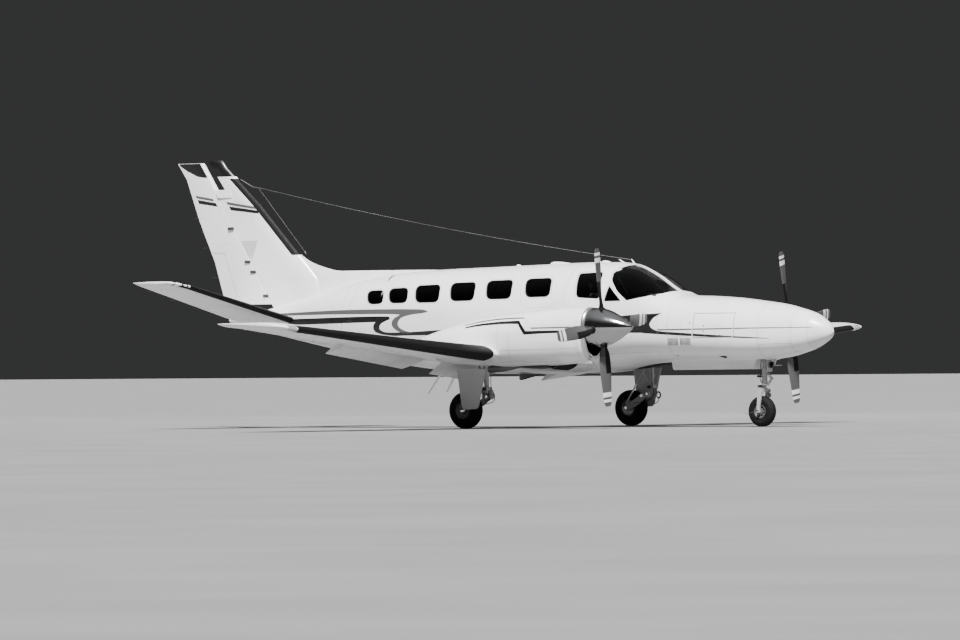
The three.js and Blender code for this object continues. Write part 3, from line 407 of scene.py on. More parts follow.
def turned(start, towards, profile, n=48, caps=True):
    """A round body about a line: profile is a list of (distance from the start, radius)."""
    d, side, up = frame_across(np.subtract(towards, start))
    angles = [2 * math.pi * i / n for i in range(n)]
    rings = []
    for t, r in profile:
        centre = np.asarray(start, float) + d * t
        r = max(r, 1e-5)
        rings.append([centre + (side * math.cos(a) + up * math.sin(a)) * r for a in angles])
    return loft(rings, caps=caps)


def rod(a, b, r, n=20):
    """A rod with slightly rounded ends."""
    length = float(np.linalg.norm(np.subtract(b, a)))
    e = min(r * 0.25, length * 0.2)
    return turned(a, b, [(0, r - e), (e, r), (length - e, r), (length, r - e)], n)


def tube(points, radius, n=10):
    """A tube along points, its radius one number or one for each point."""
    points = [np.array(p, float) for p in points]
    radii = [radius] * len(points) if np.isscalar(radius) else radius
    rings = []
    side = None
    for i, (p, r) in enumerate(zip(points, radii)):
        d = unit(points[min(i + 1, len(points) - 1)] - points[max(i - 1, 0)])
        if side is None:
            _, side, _ = frame_across(d)
        side = unit(side - d * np.dot(side, d))
        up = np.cross(side, d)
        rings.append([p + (side * math.cos(a) + up * math.sin(a)) * r
                      for a in (2 * math.pi * j / n for j in range(n))])
    return loft(rings)


def rounded_box(low, high, r=0.01, steps=2):
    """A box with rounded edges, between two corners (s, y, z)."""
    low, high = np.minimum(low, high), np.maximum(low, high)
    r = min(r, *(0.49 * (high - low)))
    rings = []
    for k in range(steps + 1):
        a = math.pi / 2 * k / steps
        rings.append((low[2] + r - r * math.cos(a), r - r * math.sin(a)))
    rings += [(low[2] + high[2] - z, inset) for z, inset in reversed(rings)]
    out = []
    for z, inset in rings:
        ring = []
        for sx, sy, start in ((1, 1, 0), (-1, 1, 90), (-1, -1, 180), (1, -1, 270)):
            centre = ((high[0] - r) if sx > 0 else (low[0] + r),
                      (high[1] - r) if sy > 0 else (low[1] + r))
            for k in range(steps + 1):
                a = math.radians(start + 90 * k / steps)
                rr = r - inset
                ring.append(pt(centre[0] + rr * math.cos(a), centre[1] + rr * math.sin(a), z))
        out.append(ring)
    return loft(out)


def inside(points, outline):
    """Which of the points lie inside a closed outline."""
    points = np.asarray(points, dtype=float).reshape(-1, 2)
    a = np.asarray(outline, dtype=float)
    b = np.roll(a, -1, axis=0)
    x, y = points[:, :1], points[:, 1:]
    rise = np.where(a[:, 1] == b[:, 1], 1.0, b[:, 1] - a[:, 1])
    crossing = (a[:, 1] > y) != (b[:, 1] > y)
    at = a[:, 0] + (y - a[:, 1]) * (b[:, 0] - a[:, 0]) / rise
    return (crossing & (x < at)).sum(1) % 2 == 1


def divided(outline, step, closed=True):
    """An outline with its long edges cut into pieces no longer than step."""
    out = []
    ends = list(outline[1:]) + ([outline[0]] if closed else [])
    for a, b in zip(outline, ends):
        n = max(1, math.ceil(math.dist(a, b) / step))
        out += [(a[0] + (b[0] - a[0]) * i / n, a[1] + (b[1] - a[1]) * i / n) for i in range(n)]
    return out if closed else out + [tuple(outline[-1])]


def filled(outline, step, lines=()):
    """Points and triangles that fill an outline in a plane, with edges along closed lines."""
    fine = step * 0.4
    loops = [divided(list(map(tuple, loop)), fine) for loop in [outline, *lines]]
    coords, edges = [], []
    for loop in loops:
        base = len(coords)
        coords += [Vector(p) for p in loop]
        edges += [(base + i, base + (i + 1) % len(loop)) for i in range(len(loop))]
    box = np.array(loops[0])
    low, high = box.min(0), box.max(0)
    grid = [(x, y) for x in np.arange(low[0] + step, high[0], step)
            for y in np.arange(low[1] + fine, high[1], fine)]
    if grid:
        coords += [Vector(p) for p, kept in zip(grid, inside(grid, loops[0])) if kept]
    points, _, tris, *_ = delaunay_2d_cdt(coords, edges, [], 0, 1e-7)
    points = [np.array(p) for p in points]
    middles = np.array([sum(points[i] for i in t) / 3 for t in tris])
    keep = inside(middles, loops[0])
    return points, [tuple(t) for t, kept in zip(tris, keep) if kept]


def ribbon(path, place, width, closed=False):
    """A thin strip along a path that is laid on a surface."""
    path = [np.array(p, dtype=float) for p in path]
    n = len(path)
    edges = ([], [])
    for i, p in enumerate(path):
        before = path[i - 1] if i or closed else p
        after = path[(i + 1) % n] if i < n - 1 or closed else p
        along = after - before
        across = np.array((-along[1], along[0])) / (np.linalg.norm(along) or 1) * width / 2
        edges[0].append(p + across)
        edges[1].append(p - across)
    verts = list(place(edges[0])) + list(place(edges[1]))
    count = n if closed else n - 1
    return verts, [(i, (i + 1) % n, n + (i + 1) % n, n + i) for i in range(count)]


# Fuselage skin
def oval_width(rows, z, lower):
    """Half widths of oval sections at given heights."""
    _, crown, keel, half, mid, upper = rows.T
    above = z > mid
    k = np.where(above, (z - mid) / (crown - mid), (mid - z) / (mid - keel))
    power = np.where(above, upper, lower)
    return half * (1 - np.clip(k, 0, 1) ** power) ** (1 / power)


def under_skin(centres, rows, lower, depth, y=0.0):
    """Which points lie more than a depth inside the oval sections at their stations."""
    _, crown, keel, half, mid, upper = rows.T
    above = centres[:, 2] > mid
    reach = np.where(above, crown - mid, mid - keel) - depth
    power = np.where(above, upper, lower)
    k = (np.abs(centres[:, 1] - y) / (half - depth)) ** power
    k += (np.abs(centres[:, 2] - mid) / reach) ** power
    return k < 1


def face_centres(piece):
    return np.array([f.center for f in piece.data.polygons])


def oval_ring(row, inset, n, lower=LOWER_POWER, y=0.0):
    """A section of the fuselage or a nacelle, drawn in by an inset."""
    s, crown, keel, half, mid, upper = row
    ring = []
    for i in range(n):
        a = 2 * math.pi * i / n
        c, v = math.cos(a), math.sin(a)
        power = upper if v > 0 else lower
        reach = crown - mid - inset if v > 0 else mid - keel - inset
        w = math.copysign(abs(c) ** (2 / power), c) * (half - inset)
        ring.append(pt(s, y + w, mid + math.copysign(abs(v) ** (2 / power), v) * reach))
    return ring


def fuselage(s0, s1, inset=0.0, step=0.05, n=96):
    """A length of the fuselage, with closer sections at the very nose."""
    count = max(2, int(round((s1 - s0) / step)) + 1)
    at = np.linspace(s0, s1, count)
    if s0 < 0.02:
        tip = [0, 0.004, 0.012, 0.025, 0.045, 0.07]
        at = np.concatenate([tip, np.arange(0.1, s1, step), [s1]])
    return loft([oval_ring(row, inset, n) for row in rows_at(FUSELAGE, at)])


def skin_y(s, z):
    """Half widths of the fuselage at stations and heights."""
    return oval_width(rows_at(FUSELAGE, s), np.atleast_1d(z), LOWER_POWER)


def crown_z(s):
    return float(rows_at(FUSELAGE, s)[0, 1])


def nacelle_rows(at):
    rows = rows_at(NACELLE, at)
    return np.hstack([rows, np.full((len(rows), 1), NACELLE_POWERS[0])])


def nacelle(s0, s1, inset, side, n=72, front=()):
    """A length of a nacelle; front holds (s, further inset) of a rounded lip."""
    def ring(row, more=0.0):
        return oval_ring(row, inset + more, n, NACELLE_POWERS[1], ENGINE_Y * side)

    at = np.linspace(s0, s1, max(2, int(round((s1 - s0) / 0.04)) + 1))
    rings = [ring(nacelle_rows([s])[0], more) for s, more in front]
    return loft(rings + [ring(row) for row in nacelle_rows(at)])


def on_fuselage(side, lift=0.0008):
    """Places (s, z) on a side of the fuselage."""
    def place(points):
        p = np.array(points)
        y = (skin_y(p[:, 0], p[:, 1]) + lift) * side
        return [pt(s, w, z) for (s, z), w in zip(p, y)]
    return place


def on_nacelle(engine, side, lift=0.0008):
    """Places (s, z) on the port or starboard side of a nacelle."""
    def place(points):
        p = np.array(points)
        width = oval_width(nacelle_rows(p[:, 0]), p[:, 1], NACELLE_POWERS[1])
        return [pt(s, ENGINE_Y * engine + (w + lift) * side, z) for (s, z), w in zip(p, width)]
    return place


# Wings and tail
def thickness_at(x):
    """Half thickness of the wing section at a share of the chord, for a full thickness of 1."""
    return 5 * (0.2969 * math.sqrt(x) - 0.126 * x - 0.3516 * x * x + 0.2843 * x ** 3
                - 0.1015 * x ** 4)


def section_point(row, x, sign, camber, lift=0.0):
    """A point (s, y, z) at a share of the chord, above (1), below (-1) or on the camber line."""
    y, s, z, chord, ratio, incidence = row
    rise = camber * 4 * x * (1 - x) * chord
    rise += sign * (thickness_at(x) * ratio * chord + 0.0015 + lift)
    a = math.radians(incidence)
    return (s + x * chord * math.cos(a) + rise * math.sin(a), y,
            z - x * chord * math.sin(a) + rise)


CHORD = [0.5 - 0.5 * math.cos(math.pi * i / 26) for i in range(1, 27)]


def airfoil_ring(row, side, camber):
    top = [section_point(row, x, 1, camber) for x in reversed(CHORD)]
    nose = [section_point(row, 0, 0, camber)]
    low = [section_point(row, x, -1, camber) for x in CHORD]
    return [pt(s, y * side, z) for s, y, z in top + nose + low]


def hinged(ends, turn=0.0, grow=0.0, level=False):
    """A hinged surface, or the space it swings in, with end faces square to its hinge.

    Ends are dicts of the hinge point, the nose radius, the chord behind it and the slope.
    """
    points = [pt(*e["hinge"]) for e in ends]
    d = unit(points[-1] - points[0])
    aft = np.array((-1.0, 0, 0))
    flat = aft if level else unit(aft - d * np.dot(aft, d))
    tall = np.array((0, 1.0, 0)) if level else unit(np.cross(d, flat))
    stretch = 1 / abs(d[2]) if level else 1
    fine = 14
    rings = []
    for i, e in enumerate(ends):
        r = e["r"] + grow
        centre = points[i] + d * (-grow if i == 0 else grow if i == len(ends) - 1 else 0)
        local = []
        for j in range(fine + 1):
            a = math.radians(84 + j * 192 / fine)
            local.append((math.cos(a) * r * stretch, math.sin(a) * r))
        if grow:
            local += [(e["chord"] + 0.3, -r * 1.6), (e["chord"] + 0.3, r * 1.6)]
        else:
            low = [(e["chord"] * t, -r * (1 - t) * (1 + 0.35 * t) - 0.002 * t)
                   for t in (0.25, 0.5, 0.75, 1)]
            local += low + [(x, -h) for x, h in reversed(low)]
        a = math.radians(turn + e.get("slope", 0))
        c, n = math.cos(a), math.sin(a)
        rings.append([centre + flat * (u * c - v * n) + tall * (u * n + v * c)
                      for u, v in local])
    return loft(rings)


def hinge_on(table, y, side, fraction, camber):
    """One end of a hinged surface that takes up the wing behind a share of its chord."""
    row = straight_row(table, y)
    top = section_point(row, fraction, 1, camber)
    low = section_point(row, fraction, -1, camber)
    rear = section_point(row, 1, 0, camber)
    at = ((top[0] + low[0]) / 2, y * side, (top[2] + low[2]) / 2)
    chord = math.hypot(rear[0] - at[0], rear[2] - at[2])
    slope = math.degrees(math.asin((rear[2] - at[2]) / chord)) if camber else 0
    return {"hinge": at, "r": (top[2] - low[2]) / 2, "chord": chord, "slope": slope}


def hinge_ends(table, ys, side, fraction, camber):
    ends = [hinge_on(table, y, side, fraction, camber) for y in ys]
    return ends if side > 0 else ends[::-1]


# Materials
def new_material(name):
    mat = bpy.data.materials.new(name)
    mat.use_nodes = True
    tree = mat.node_tree
    return mat, tree, tree.nodes["Principled BSDF"]


def node(tree, kind, inputs=(), **settings):
    """A shader node; an input is a number, a colour or another node's output."""
    made = tree.nodes.new("ShaderNode" + kind)
    for key, value in settings.items():
        setattr(made, key, value)
    for key, value in dict(inputs).items():
        if isinstance(value, bpy.types.NodeSocket):
            tree.links.new(value, made.inputs[key])
        else:
            made.inputs[key].default_value = value
    return made


def place_of(tree, scale=(1, 1, 1)):
    """The point on the object, stretched by a scale along each axis."""
    where = node(tree, "TexCoord").outputs["Object"]
    return node(tree, "Mapping", {"Vector": where, "Scale": scale}).outputs[0]


def noise(tree, scale, detail=4, stretch=(1, 1, 1)):
    return node(tree, "TexNoise", {"Vector": place_of(tree, stretch), "Scale": scale,
                                   "Detail": detail, "Roughness": 0.55}).outputs["Fac"]


def ramp(tree, value, low, high, to=(0.0, 1.0)):
    """A value between low and high taken smoothly to another range."""
    return node(tree, "MapRange", {"Value": value, "From Min": low, "From Max": high,
                                   "To Min": to[0], "To Max": to[1]},
                interpolation_type="SMOOTHSTEP").outputs[0]


def times(tree, a, b):
    return node(tree, "Math", {0: a, 1: b}, operation="MULTIPLY").outputs[0]


def plus(tree, a, b):
    return node(tree, "Math", {0: a, 1: b}, operation="ADD").outputs[0]


def mix(tree, factor, a, b):
    """Colours a and b, each a constant or a node's output, mixed by a factor."""
    made = node(tree, "Mix", data_type="RGBA")
    for key, value in ((0, factor), (6, a), (7, b)):
        if isinstance(value, bpy.types.NodeSocket):
            tree.links.new(value, made.inputs[key])
        else:
            made.inputs[key].default_value = value
    return made.outputs[2]


def grey(v, tint=0.0):
    """A grey, warmer with a tint."""
    return (v * (1 + tint), v, v * (1 - tint), 1)


def bump(tree, shader, layers):
    """Bump from several (height, strength, distance) layers, one on the other."""
    normal = None
    for height, strength, distance in layers:
        inputs = {"Height": height, "Strength": strength, "Distance": distance}
        if normal is not None:
            inputs["Normal"] = normal
        normal = node(tree, "Bump", inputs).outputs[0]
    tree.links.new(normal, shader.inputs["Normal"])


def paint_material(name, value, rough=0.3, coat=0.35, grime=0.35, belly=None, low_trail=None):
    """Gloss paint: faint waves in the panels, fine orange peel, grime and dull patches.

    Belly darkens the colour towards the bottom, between two heights: low z, high z, strength.
    Low trail is darker paint below a height: x it starts at, x it ends at, z of its top, strength.
    """
    mat, tree, shader = new_material(name)
    cloud = ramp(tree, noise(tree, 1.1, 6), 0.42, 0.75)
    streak = ramp(tree, noise(tree, 3.2, 5, (0.25, 3, 3)), 0.5, 0.8)
    speck = ramp(tree, noise(tree, 55, 3), 0.66, 0.78)
    darkening = plus(tree, times(tree, cloud, 0.35 * grime), times(tree, streak, 0.4 * grime))
    darkening = plus(tree, darkening, times(tree, speck, 0.3 * grime))
    if belly or low_trail:
        where = node(tree, "SeparateXYZ", {0: place_of(tree)})
    # Darker towards the bottom, fading out between two heights
    if belly:
        low = ramp(tree, where.outputs[2], belly[0], belly[1], (1, 0))
        patchy = ramp(tree, noise(tree, 2.6, 6, (0.5, 1.5, 1.5)), 0.25, 0.8, (0.35, 1))
        darkening = plus(tree, darkening, times(tree, times(tree, low, patchy), belly[2]))
    # A darker trail below a height, strongest at a station and fading aft
    if low_trail:
        x_from, x_to, z_top, strength = low_trail
        along = ramp(tree, where.outputs[0], x_to, x_from, (0, 1))
        start = ramp(tree, where.outputs[0], x_from, x_from + 0.15, (1, 0))
        below = ramp(tree, where.outputs[2], z_top - 0.16, z_top, (1, 0))
        trail = ramp(tree, noise(tree, 4, 6, (0.3, 5, 5)), 0.3, 0.7, (0.3, 1))
        trail_share = times(tree, times(tree, along, start), times(tree, below, trail))
        darkening = plus(tree, darkening, times(tree, trail_share, strength))
    darkening = node(tree, "Clamp", {0: darkening}).outputs[0]
    clean = mix(tree, ramp(tree, noise(tree, 0.8, 2), 0.3, 0.7), grey(value, 0.004),
                grey(value * 0.965, 0.004))
    tree.links.new(mix(tree, darkening, clean, grey(value * 0.22, 0.02)), shader.inputs["Base Color"])
    dull = plus(tree, times(tree, darkening, 0.5), ramp(tree, noise(tree, 9, 4), 0.3, 0.8,
                                                   (rough * 0.8, rough * 1.25)))
    tree.links.new(dull, shader.inputs["Roughness"])
    shader.inputs["Coat Weight"].default_value = coat
    shader.inputs["Coat Roughness"].default_value = 0.12
    bump(tree, shader, [(noise(tree, 2.3, 1), 0.5, 0.004), (noise(tree, 260, 2), 0.12, 0.0005),
                        (noise(tree, 22, 3), 0.08, 0.001)])
    return mat


def metal_material(name, value, rough=0.25, metallic=1.0, brushed=(1, 1, 1), wear=0.3):
    mat, tree, shader = new_material(name)
    stain = ramp(tree, noise(tree, 14, 6), 0.45, 0.8)
    fine = noise(tree, 240, 3, brushed)
    tone = mix(tree, times(tree, stain, wear), grey(value, 0.006), grey(value * 0.45, 0.02))
    tree.links.new(tone, shader.inputs["Base Color"])
    shader.inputs["Metallic"].default_value = metallic
    tree.links.new(plus(tree, times(tree, stain, wear * 0.4),
                        ramp(tree, fine, 0.3, 0.7, (rough * 0.75, rough * 1.3))),
                   shader.inputs["Roughness"])
    bump(tree, shader, [(fine, 0.1, 0.0004), (noise(tree, 30, 2), 0.08, 0.001)])
    return mat


def rubber_material(name, value=0.02, rough=0.7, dust=0.35):
    mat, tree, shader = new_material(name)
    dusty = ramp(tree, noise(tree, 18, 6), 0.4, 0.85)
    tree.links.new(mix(tree, times(tree, dusty, dust), grey(value), grey(value * 4 + 0.05, 0.05)),
                   shader.inputs["Base Color"])
    tree.links.new(ramp(tree, noise(tree, 60, 3), 0.3, 0.8, (rough * 0.85, min(1, rough * 1.2))),
                   shader.inputs["Roughness"])
    shader.inputs["Specular IOR Level"].default_value = 0.14
    bump(tree, shader, [(noise(tree, 300, 3), 0.25, 0.0006), (noise(tree, 25, 3), 0.15, 0.0015)])
    return mat


def fabric_material(name, value, scale, sheen, tint):
    """Woven or tufted cloth."""
    mat, tree, shader = new_material(name)
    weave = node(tree, "TexWave", {"Vector": place_of(tree), "Scale": scale * 0.35,
                                   "Distortion": 1.2, "Detail": 2}).outputs["Fac"]
    cross = node(tree, "TexWave", {"Vector": place_of(tree), "Scale": scale * 0.35,
                                   "Distortion": 1.0, "Detail": 2},
                 bands_direction="Y").outputs["Fac"]
    both = times(tree, weave, cross)
    worn = ramp(tree, noise(tree, 6, 5), 0.35, 0.8, (0.0, 0.5))
    base = mix(tree, both, grey(value * 0.75, tint), grey(value * 1.15, tint))
    tree.links.new(mix(tree, worn, base, grey(value * 0.6, tint)), shader.inputs["Base Color"])
    shader.inputs["Roughness"].default_value = 0.9
    shader.inputs["Sheen Weight"].default_value = sheen
    bump(tree, shader, [(both, 0.4, 0.0008), (noise(tree, 120, 3), 0.3, 0.001)])
    return mat


def leather_material(name, value, rough=0.5):
    mat, tree, shader = new_material(name)
    tint = 0.03
    grain = node(tree, "TexVoronoi", {"Vector": place_of(tree), "Scale": 420}).outputs["Distance"]
    worn = ramp(tree, noise(tree, 5, 6), 0.4, 0.8)
    tree.links.new(mix(tree, times(tree, worn, 0.5), grey(value, tint), grey(value * 1.4, tint)),
                   shader.inputs["Base Color"])
    tree.links.new(ramp(tree, worn, 0, 1, (rough * 1.1, rough * 0.7)), shader.inputs["Roughness"])
    bump(tree, shader, [(grain, 0.35, 0.0008), (noise(tree, 9, 4), 0.3, 0.004)])
    return mat


def plastic_material(name, value, rough=0.55, grain=500, tint=0.0):
    mat, tree, shader = new_material(name)
    worn = ramp(tree, noise(tree, 12, 5), 0.45, 0.85)
    tree.links.new(mix(tree, times(tree, worn, 0.35), grey(value, tint),
                       grey(value * 1.5 + 0.01, tint)), shader.inputs["Base Color"])
    tree.links.new(ramp(tree, noise(tree, 40, 4), 0.3, 0.8, (rough * 0.85, rough * 1.15)),
                   shader.inputs["Roughness"])
    bump(tree, shader, [(noise(tree, grain, 2), 0.2, 0.0006)])
    return mat


def glass_material(name, value, rough=0.02, transmission=1.0):
    """Tinted acrylic with faint smears."""
    mat, tree, shader = new_material(name)
    smear = ramp(tree, noise(tree, 7, 6, (1, 1, 2.5)), 0.45, 0.8)
    tree.links.new(mix(tree, times(tree, smear, 0.25), grey(value), grey(value * 1.25 + 0.01)),
                   shader.inputs["Base Color"])
    tree.links.new(ramp(tree, smear, 0, 1, (rough, rough + 0.05)), shader.inputs["Roughness"])
    shader.inputs["IOR"].default_value = 1.2
    shader.inputs["Specular IOR Level"].default_value = 0.08
    shader.inputs["Transmission Weight"].default_value = transmission
    bump(tree, shader, [(noise(tree, 3, 2), 0.15, 0.002)])
    return mat


WHITE = paint_material("white paint", 0.86, belly=(0.86, 1.3, 0.16))
NACELLE_WHITE = paint_material("nacelle paint", 0.86, belly=(0.9, 1.25, 0.14),
                               low_trail=(2.9, -0.6, 1.12, 0.55))
RADOME = paint_material("radome paint", 0.8, rough=0.38, coat=0.2, belly=(1.0, 1.35, 0.14))
GREY_PAINT = paint_material("grey stripe paint", 0.085, rough=0.34, grime=0.15)
LIGHT_GREY = paint_material("light grey paint", 0.42, rough=0.4, grime=0.2)
# Pale grey for a painted shadow on the fin
FIN_PAINTED_SHADOW = paint_material("painted shadow grey", 0.55, rough=0.4, grime=0.2)
BLACK_PAINT = paint_material("black stripe paint", 0.007, rough=0.32, coat=0.15, grime=0.1)
SEAM = paint_material("panel joint shade", 0.28, rough=0.7, coat=0.0, grime=0.3)
FASTENER = metal_material("fastener heads", 0.28, rough=0.5, metallic=0.4, wear=0.4)
LIP_METAL = metal_material("bare intake lip metal", 0.55, rough=0.24, metallic=0.9, wear=0.25)
GEAR_PAINT = paint_material("landing gear paint", 0.36, rough=0.4, coat=0.1, grime=0.7)
BLADE = paint_material("blade paint", 0.02, rough=0.42, coat=0.0, grime=0.25)
BOOT = rubber_material("de-icer rubber", 0.005, rough=0.6, dust=0.03)
TYRE = rubber_material("tyre rubber", 0.006, rough=0.8, dust=0.06)
SEAL = rubber_material("seal rubber", 0.03, rough=0.6, dust=0.2)
POLISHED = metal_material("polished spinner metal", 0.4, rough=0.1, brushed=(0.2, 6, 6),
                          wear=0.12)
STEEL = metal_material("worn steel", 0.42, rough=0.38)
DARK_STEEL = metal_material("dark steel", 0.16, rough=0.5, wear=0.5)
# Rims dark grey: partly their own colour, partly painted shade, as the main wheels sit in shade
# under the wings
RIM = metal_material("rim metal", 0.12, rough=0.5, metallic=0.5, wear=0.5)
CHROME = metal_material("oleo chrome", 0.85, rough=0.06, wear=0.05)
GLASS = glass_material("window glass", 0.09)
CLEAR_GLASS = glass_material("windscreen glass", 0.14)
LAMP_GLASS = glass_material("lamp glass", 0.9)
TRIM = plastic_material("cabin trim", 0.2, rough=0.7, grain=300, tint=0.03)
PANEL = plastic_material("panel plastic", 0.035, rough=0.6)
CARPET = fabric_material("carpet", 0.14, scale=260, sheen=0.4, tint=0.02)
SEAT = leather_material("seat leather", 0.3)
PRIMER = paint_material("inner primer", 0.3, rough=0.6, coat=0.0, grime=0.6)
INSTRUMENT = glass_material("instrument glass", 0.05, transmission=0.0, rough=0.08)
LEATHER_BLACK = leather_material("glare shield leather", 0.03, rough=0.65)
# Near black, painted shade for the insides of openings and hollows
PAINTED_SHADE_DARK = paint_material("soot dark inside", 0.012, rough=0.8, coat=0.0, grime=0.3)
BAND_PAINT = paint_material("blade band paint", 0.75, rough=0.4, coat=0.0, grime=0.2)
BLADE_FACE = paint_material("blade face paint", 0.07, rough=0.4, coat=0.0, grime=0.3)


# Fuselage
def split_inner(piece, inner):
    """Gives the faces that lie under the fuselage's skin their own material."""
    piece.data.materials.append(inner)
    centres = face_centres(piece)
    rows = rows_at(FUSELAGE, NOSE_X - centres[:, 0])
    within = under_skin(centres, rows, LOWER_POWER, 0.006)
    piece.data.polygons.foreach_set("material_index", within.astype(np.int32))


def bay_block(side, shrink, reach_in):
    """The space of a nose bay door, turned square to the skin."""
    at = float(skin_y(BAY["s"], BAY["high"])[0])
    yaw = -BAY_YAW * side
    near, far = (reach_in, 0.3) if side > 0 else (0.3, reach_in)
    return turned_block(BAY["s"], at * side, yaw, BAY["half"] - shrink, near, far,
                        BAY["low"] + shrink, BAY["high"] - shrink)


BAY_YAW = math.atan2(float(skin_y(2.05, 1.66)[0] - skin_y(1.39, 1.66)[0]), 0.66)


def door_block(z0, z1, z, shrink):
    """The space of a rear door leaf, square to the skin at height z."""
    yaw = math.atan2(float(skin_y(DOOR["s"] - 0.28, z)[0] - skin_y(DOOR["s"] + 0.28, z)[0]), 0.56)
    return turned_block(DOOR["s"], float(skin_y(DOOR["s"], z)[0]), yaw, DOOR["half"] - shrink,
                        0.35, 0.4, z0, z1)


def window_outline(row):
    rear, front, low, high = row
    return rounded([(rear - 0.05, low - 0.012), (front - 0.04, low - 0.006),
                    (front + 0.005, high + 0.008), (rear + 0.035, high - 0.004)], 0.1)


# Outlines of the panes, each with its side
PANES = []
for i, row in enumerate(WINDOWS):
    PANES.append((window_outline(row), -1))
    if i > 1:
        PANES.append((window_outline(row), 1))
for side in (-1, 1):
    PANES.append((rounded(AFT_PANE, 0.07), side))
    PANES.append((rounded(CORNER_PANE, 0.03), side))
CABIN_PANES = [(o, side) for o, side in PANES if min(p[0] for p in o) > COCKPIT_REAR_S]
COCKPIT_PANES = [(o, side) for o, side in PANES if min(p[0] for p in o) < COCKPIT_REAR_S]
DOOR_PANE = window_outline(WINDOWS[1])


def pane_prism(outline, side):
    """A body that cuts a pane's opening through one side."""
    return prism(outline, sorted((0.25 * side, side)), "side")


def screen_prisms(outline, strip):
    """Bodies that cut both halves of the windscreen, either side of its centre post."""
    return [prism(outline, (strip, 1), "side"), prism(outline, (-1, -strip), "side")]


def make_fuselage():
    add_mesh("nose cap", fuselage(0, CAP_S - HAIR), RADOME, "airframe",
             replaces=["nose_cap"])
    nose = add_mesh("nose section", fuselage(CAP_S, NOSE_REAR_S - HAIR), smooth=0)
    for side in (1, -1):
        combine(nose, bay_block(side, 0, 0.55))
    combine(nose, block(*WELL))
    finish_mesh(nose, WHITE, "airframe", replaces=["nose_section"])
    split_inner(nose, PRIMER)
    for name, side in SIDES.items():
        door = add_mesh(f"nose bay door {name}", fuselage(1.2, 2.2, step=0.04), smooth=0)
        combine(door, fuselage(1.1, 2.3, 0.025, step=0.06, n=64))
        combine(door, bay_block(side, CLEAR, 0.2), "INTERSECT")
        finish_mesh(door, WHITE, f"bay_door_{name}",
                    replaces=[f"nose_bay_door_{name}"])
        split_inner(door, PRIMER)

    cabin = add_mesh("cabin shell", fuselage(NOSE_REAR_S, CABIN_REAR_S - HAIR), smooth=0)
    inner = fuselage(NOSE_REAR_S + WALL, CABIN_REAR_S - WALL, WALL, step=0.1, n=48)
    combine(cabin, inner)
    combine(cabin, merged([pane_prism(*pane) for pane in PANES]))
    combine(cabin, merged(screen_prisms(SCREEN_PANE, SCREEN_STRIP)))
    combine(cabin, door_block(DOOR["low"], DOOR["split"], DOOR["low"], 0))
    combine(cabin, door_block(DOOR["split"] - 0.001, DOOR["high"], DOOR["high"], 0))
    combine(cabin, block(2.3, WELL[1], *WELL[2:]))
    finish_mesh(cabin, WHITE, "airframe", replaces=["cabin_shell"])
    split_inner(cabin, TRIM)

    leaves = {
        "door_upper": (DOOR["split"] + 0.004, DOOR["high"] - CLEAR, DOOR["high"]),
        "door_lower": (DOOR["low"] + CLEAR, DOOR["split"] - 0.004, DOOR["low"]),
    }
    for name, (z0, z1, at) in leaves.items():
        leaf = add_mesh(name.replace("_", " "), fuselage(6.8, 7.7, step=0.04), smooth=0)
        combine(leaf, fuselage(6.7, 7.8, WALL, step=0.1, n=48))
        combine(leaf, door_block(z0, z1, at, CLEAR), "INTERSECT")
        if name == "door_upper":
            combine(leaf, pane_prism(DOOR_PANE, 1))
        finish_mesh(leaf, WHITE, name, replaces=[name])
        split_inner(leaf, TRIM)

    add_mesh("tail cone", fuselage(CABIN_REAR_S, TAIL_S), WHITE, "airframe",
             replaces=["tail_cone"])


def thin_shell(title, outer, inner):
    """The cabin's skin between two depths, from the windscreen to the rear window."""
    piece = add_mesh(title, fuselage(2.3, 8.3, outer, step=0.06), smooth=0)
    return combine(piece, fuselage(2.2, 8.4, inner, step=0.06))


def make_glass():
    def pane(title, prisms, mat, body, replaces):
        piece = thin_shell(title, 0.014, 0.02)
        combine(piece, merged(prisms), "INTERSECT")
        finish_mesh(piece, mat, body, replaces=[replaces])

    for name, side in SIDES.items():
        pane(f"cabin windows {name}", [pane_prism(o, s) for o, s in CABIN_PANES if s == side],
             GLASS, "airframe", f"side_glass_{name}")
    pane("door window", [pane_prism(DOOR_PANE, 1)], GLASS, "door_upper", "door_glass")
    pane("cockpit windows", [pane_prism(o, s) for o, s in COCKPIT_PANES]
         + screen_prisms(SCREEN_PANE, SCREEN_STRIP), CLEAR_GLASS, "airframe", "cockpit_glass")


# Tail
def fin_half(z, s):
    """Half thickness of the fin at a height and station."""
    _, front, half = straight_row(FIN, z)
    _, rear, _, rear_half = straight_row(RUDDER, z)
    x = min(1, max(0, (s - front) / (rear - front)))
    if x < 0.35:
        return half * min(1, thickness_at(x * 0.86) / 0.5)
    return half + (min(half, rear_half) - half) * (x - 0.35) / 0.65


def fin_ring(z):
    n = 22
    front = straight_row(FIN, z)[1]
    rear = straight_row(RUDDER, z)[1] + 0.01
    line = []
    for i in range(n + 1):
        s = front + (rear - front) * (0.5 - 0.5 * math.cos(math.pi * i / n))
        line.append((s, fin_half(z, s)))
    return [pt(s, y, z) for s, y in line] + [pt(s, -y, z) for s, y in line[:0:-1]]


# Fillet ahead of the fin: s, z of its edge
DORSAL = [
    (6.9, 2.352), (7.25, 2.357), (8.0, 2.361), (8.5, 2.362), (8.836, 2.364), (9.023, 2.396),
    (9.248, 2.458), (9.42, 2.53), (9.6, 2.648), (9.75, 2.8),
]


def paint_above(piece, z):
    """Black paint on the faces above a height."""
    piece.data.materials.append(BLACK_PAINT)
    heights = np.array([f.center.z for f in piece.data.polygons])
    piece.data.polygons.foreach_set("material_index", (heights > z).astype(np.int32))


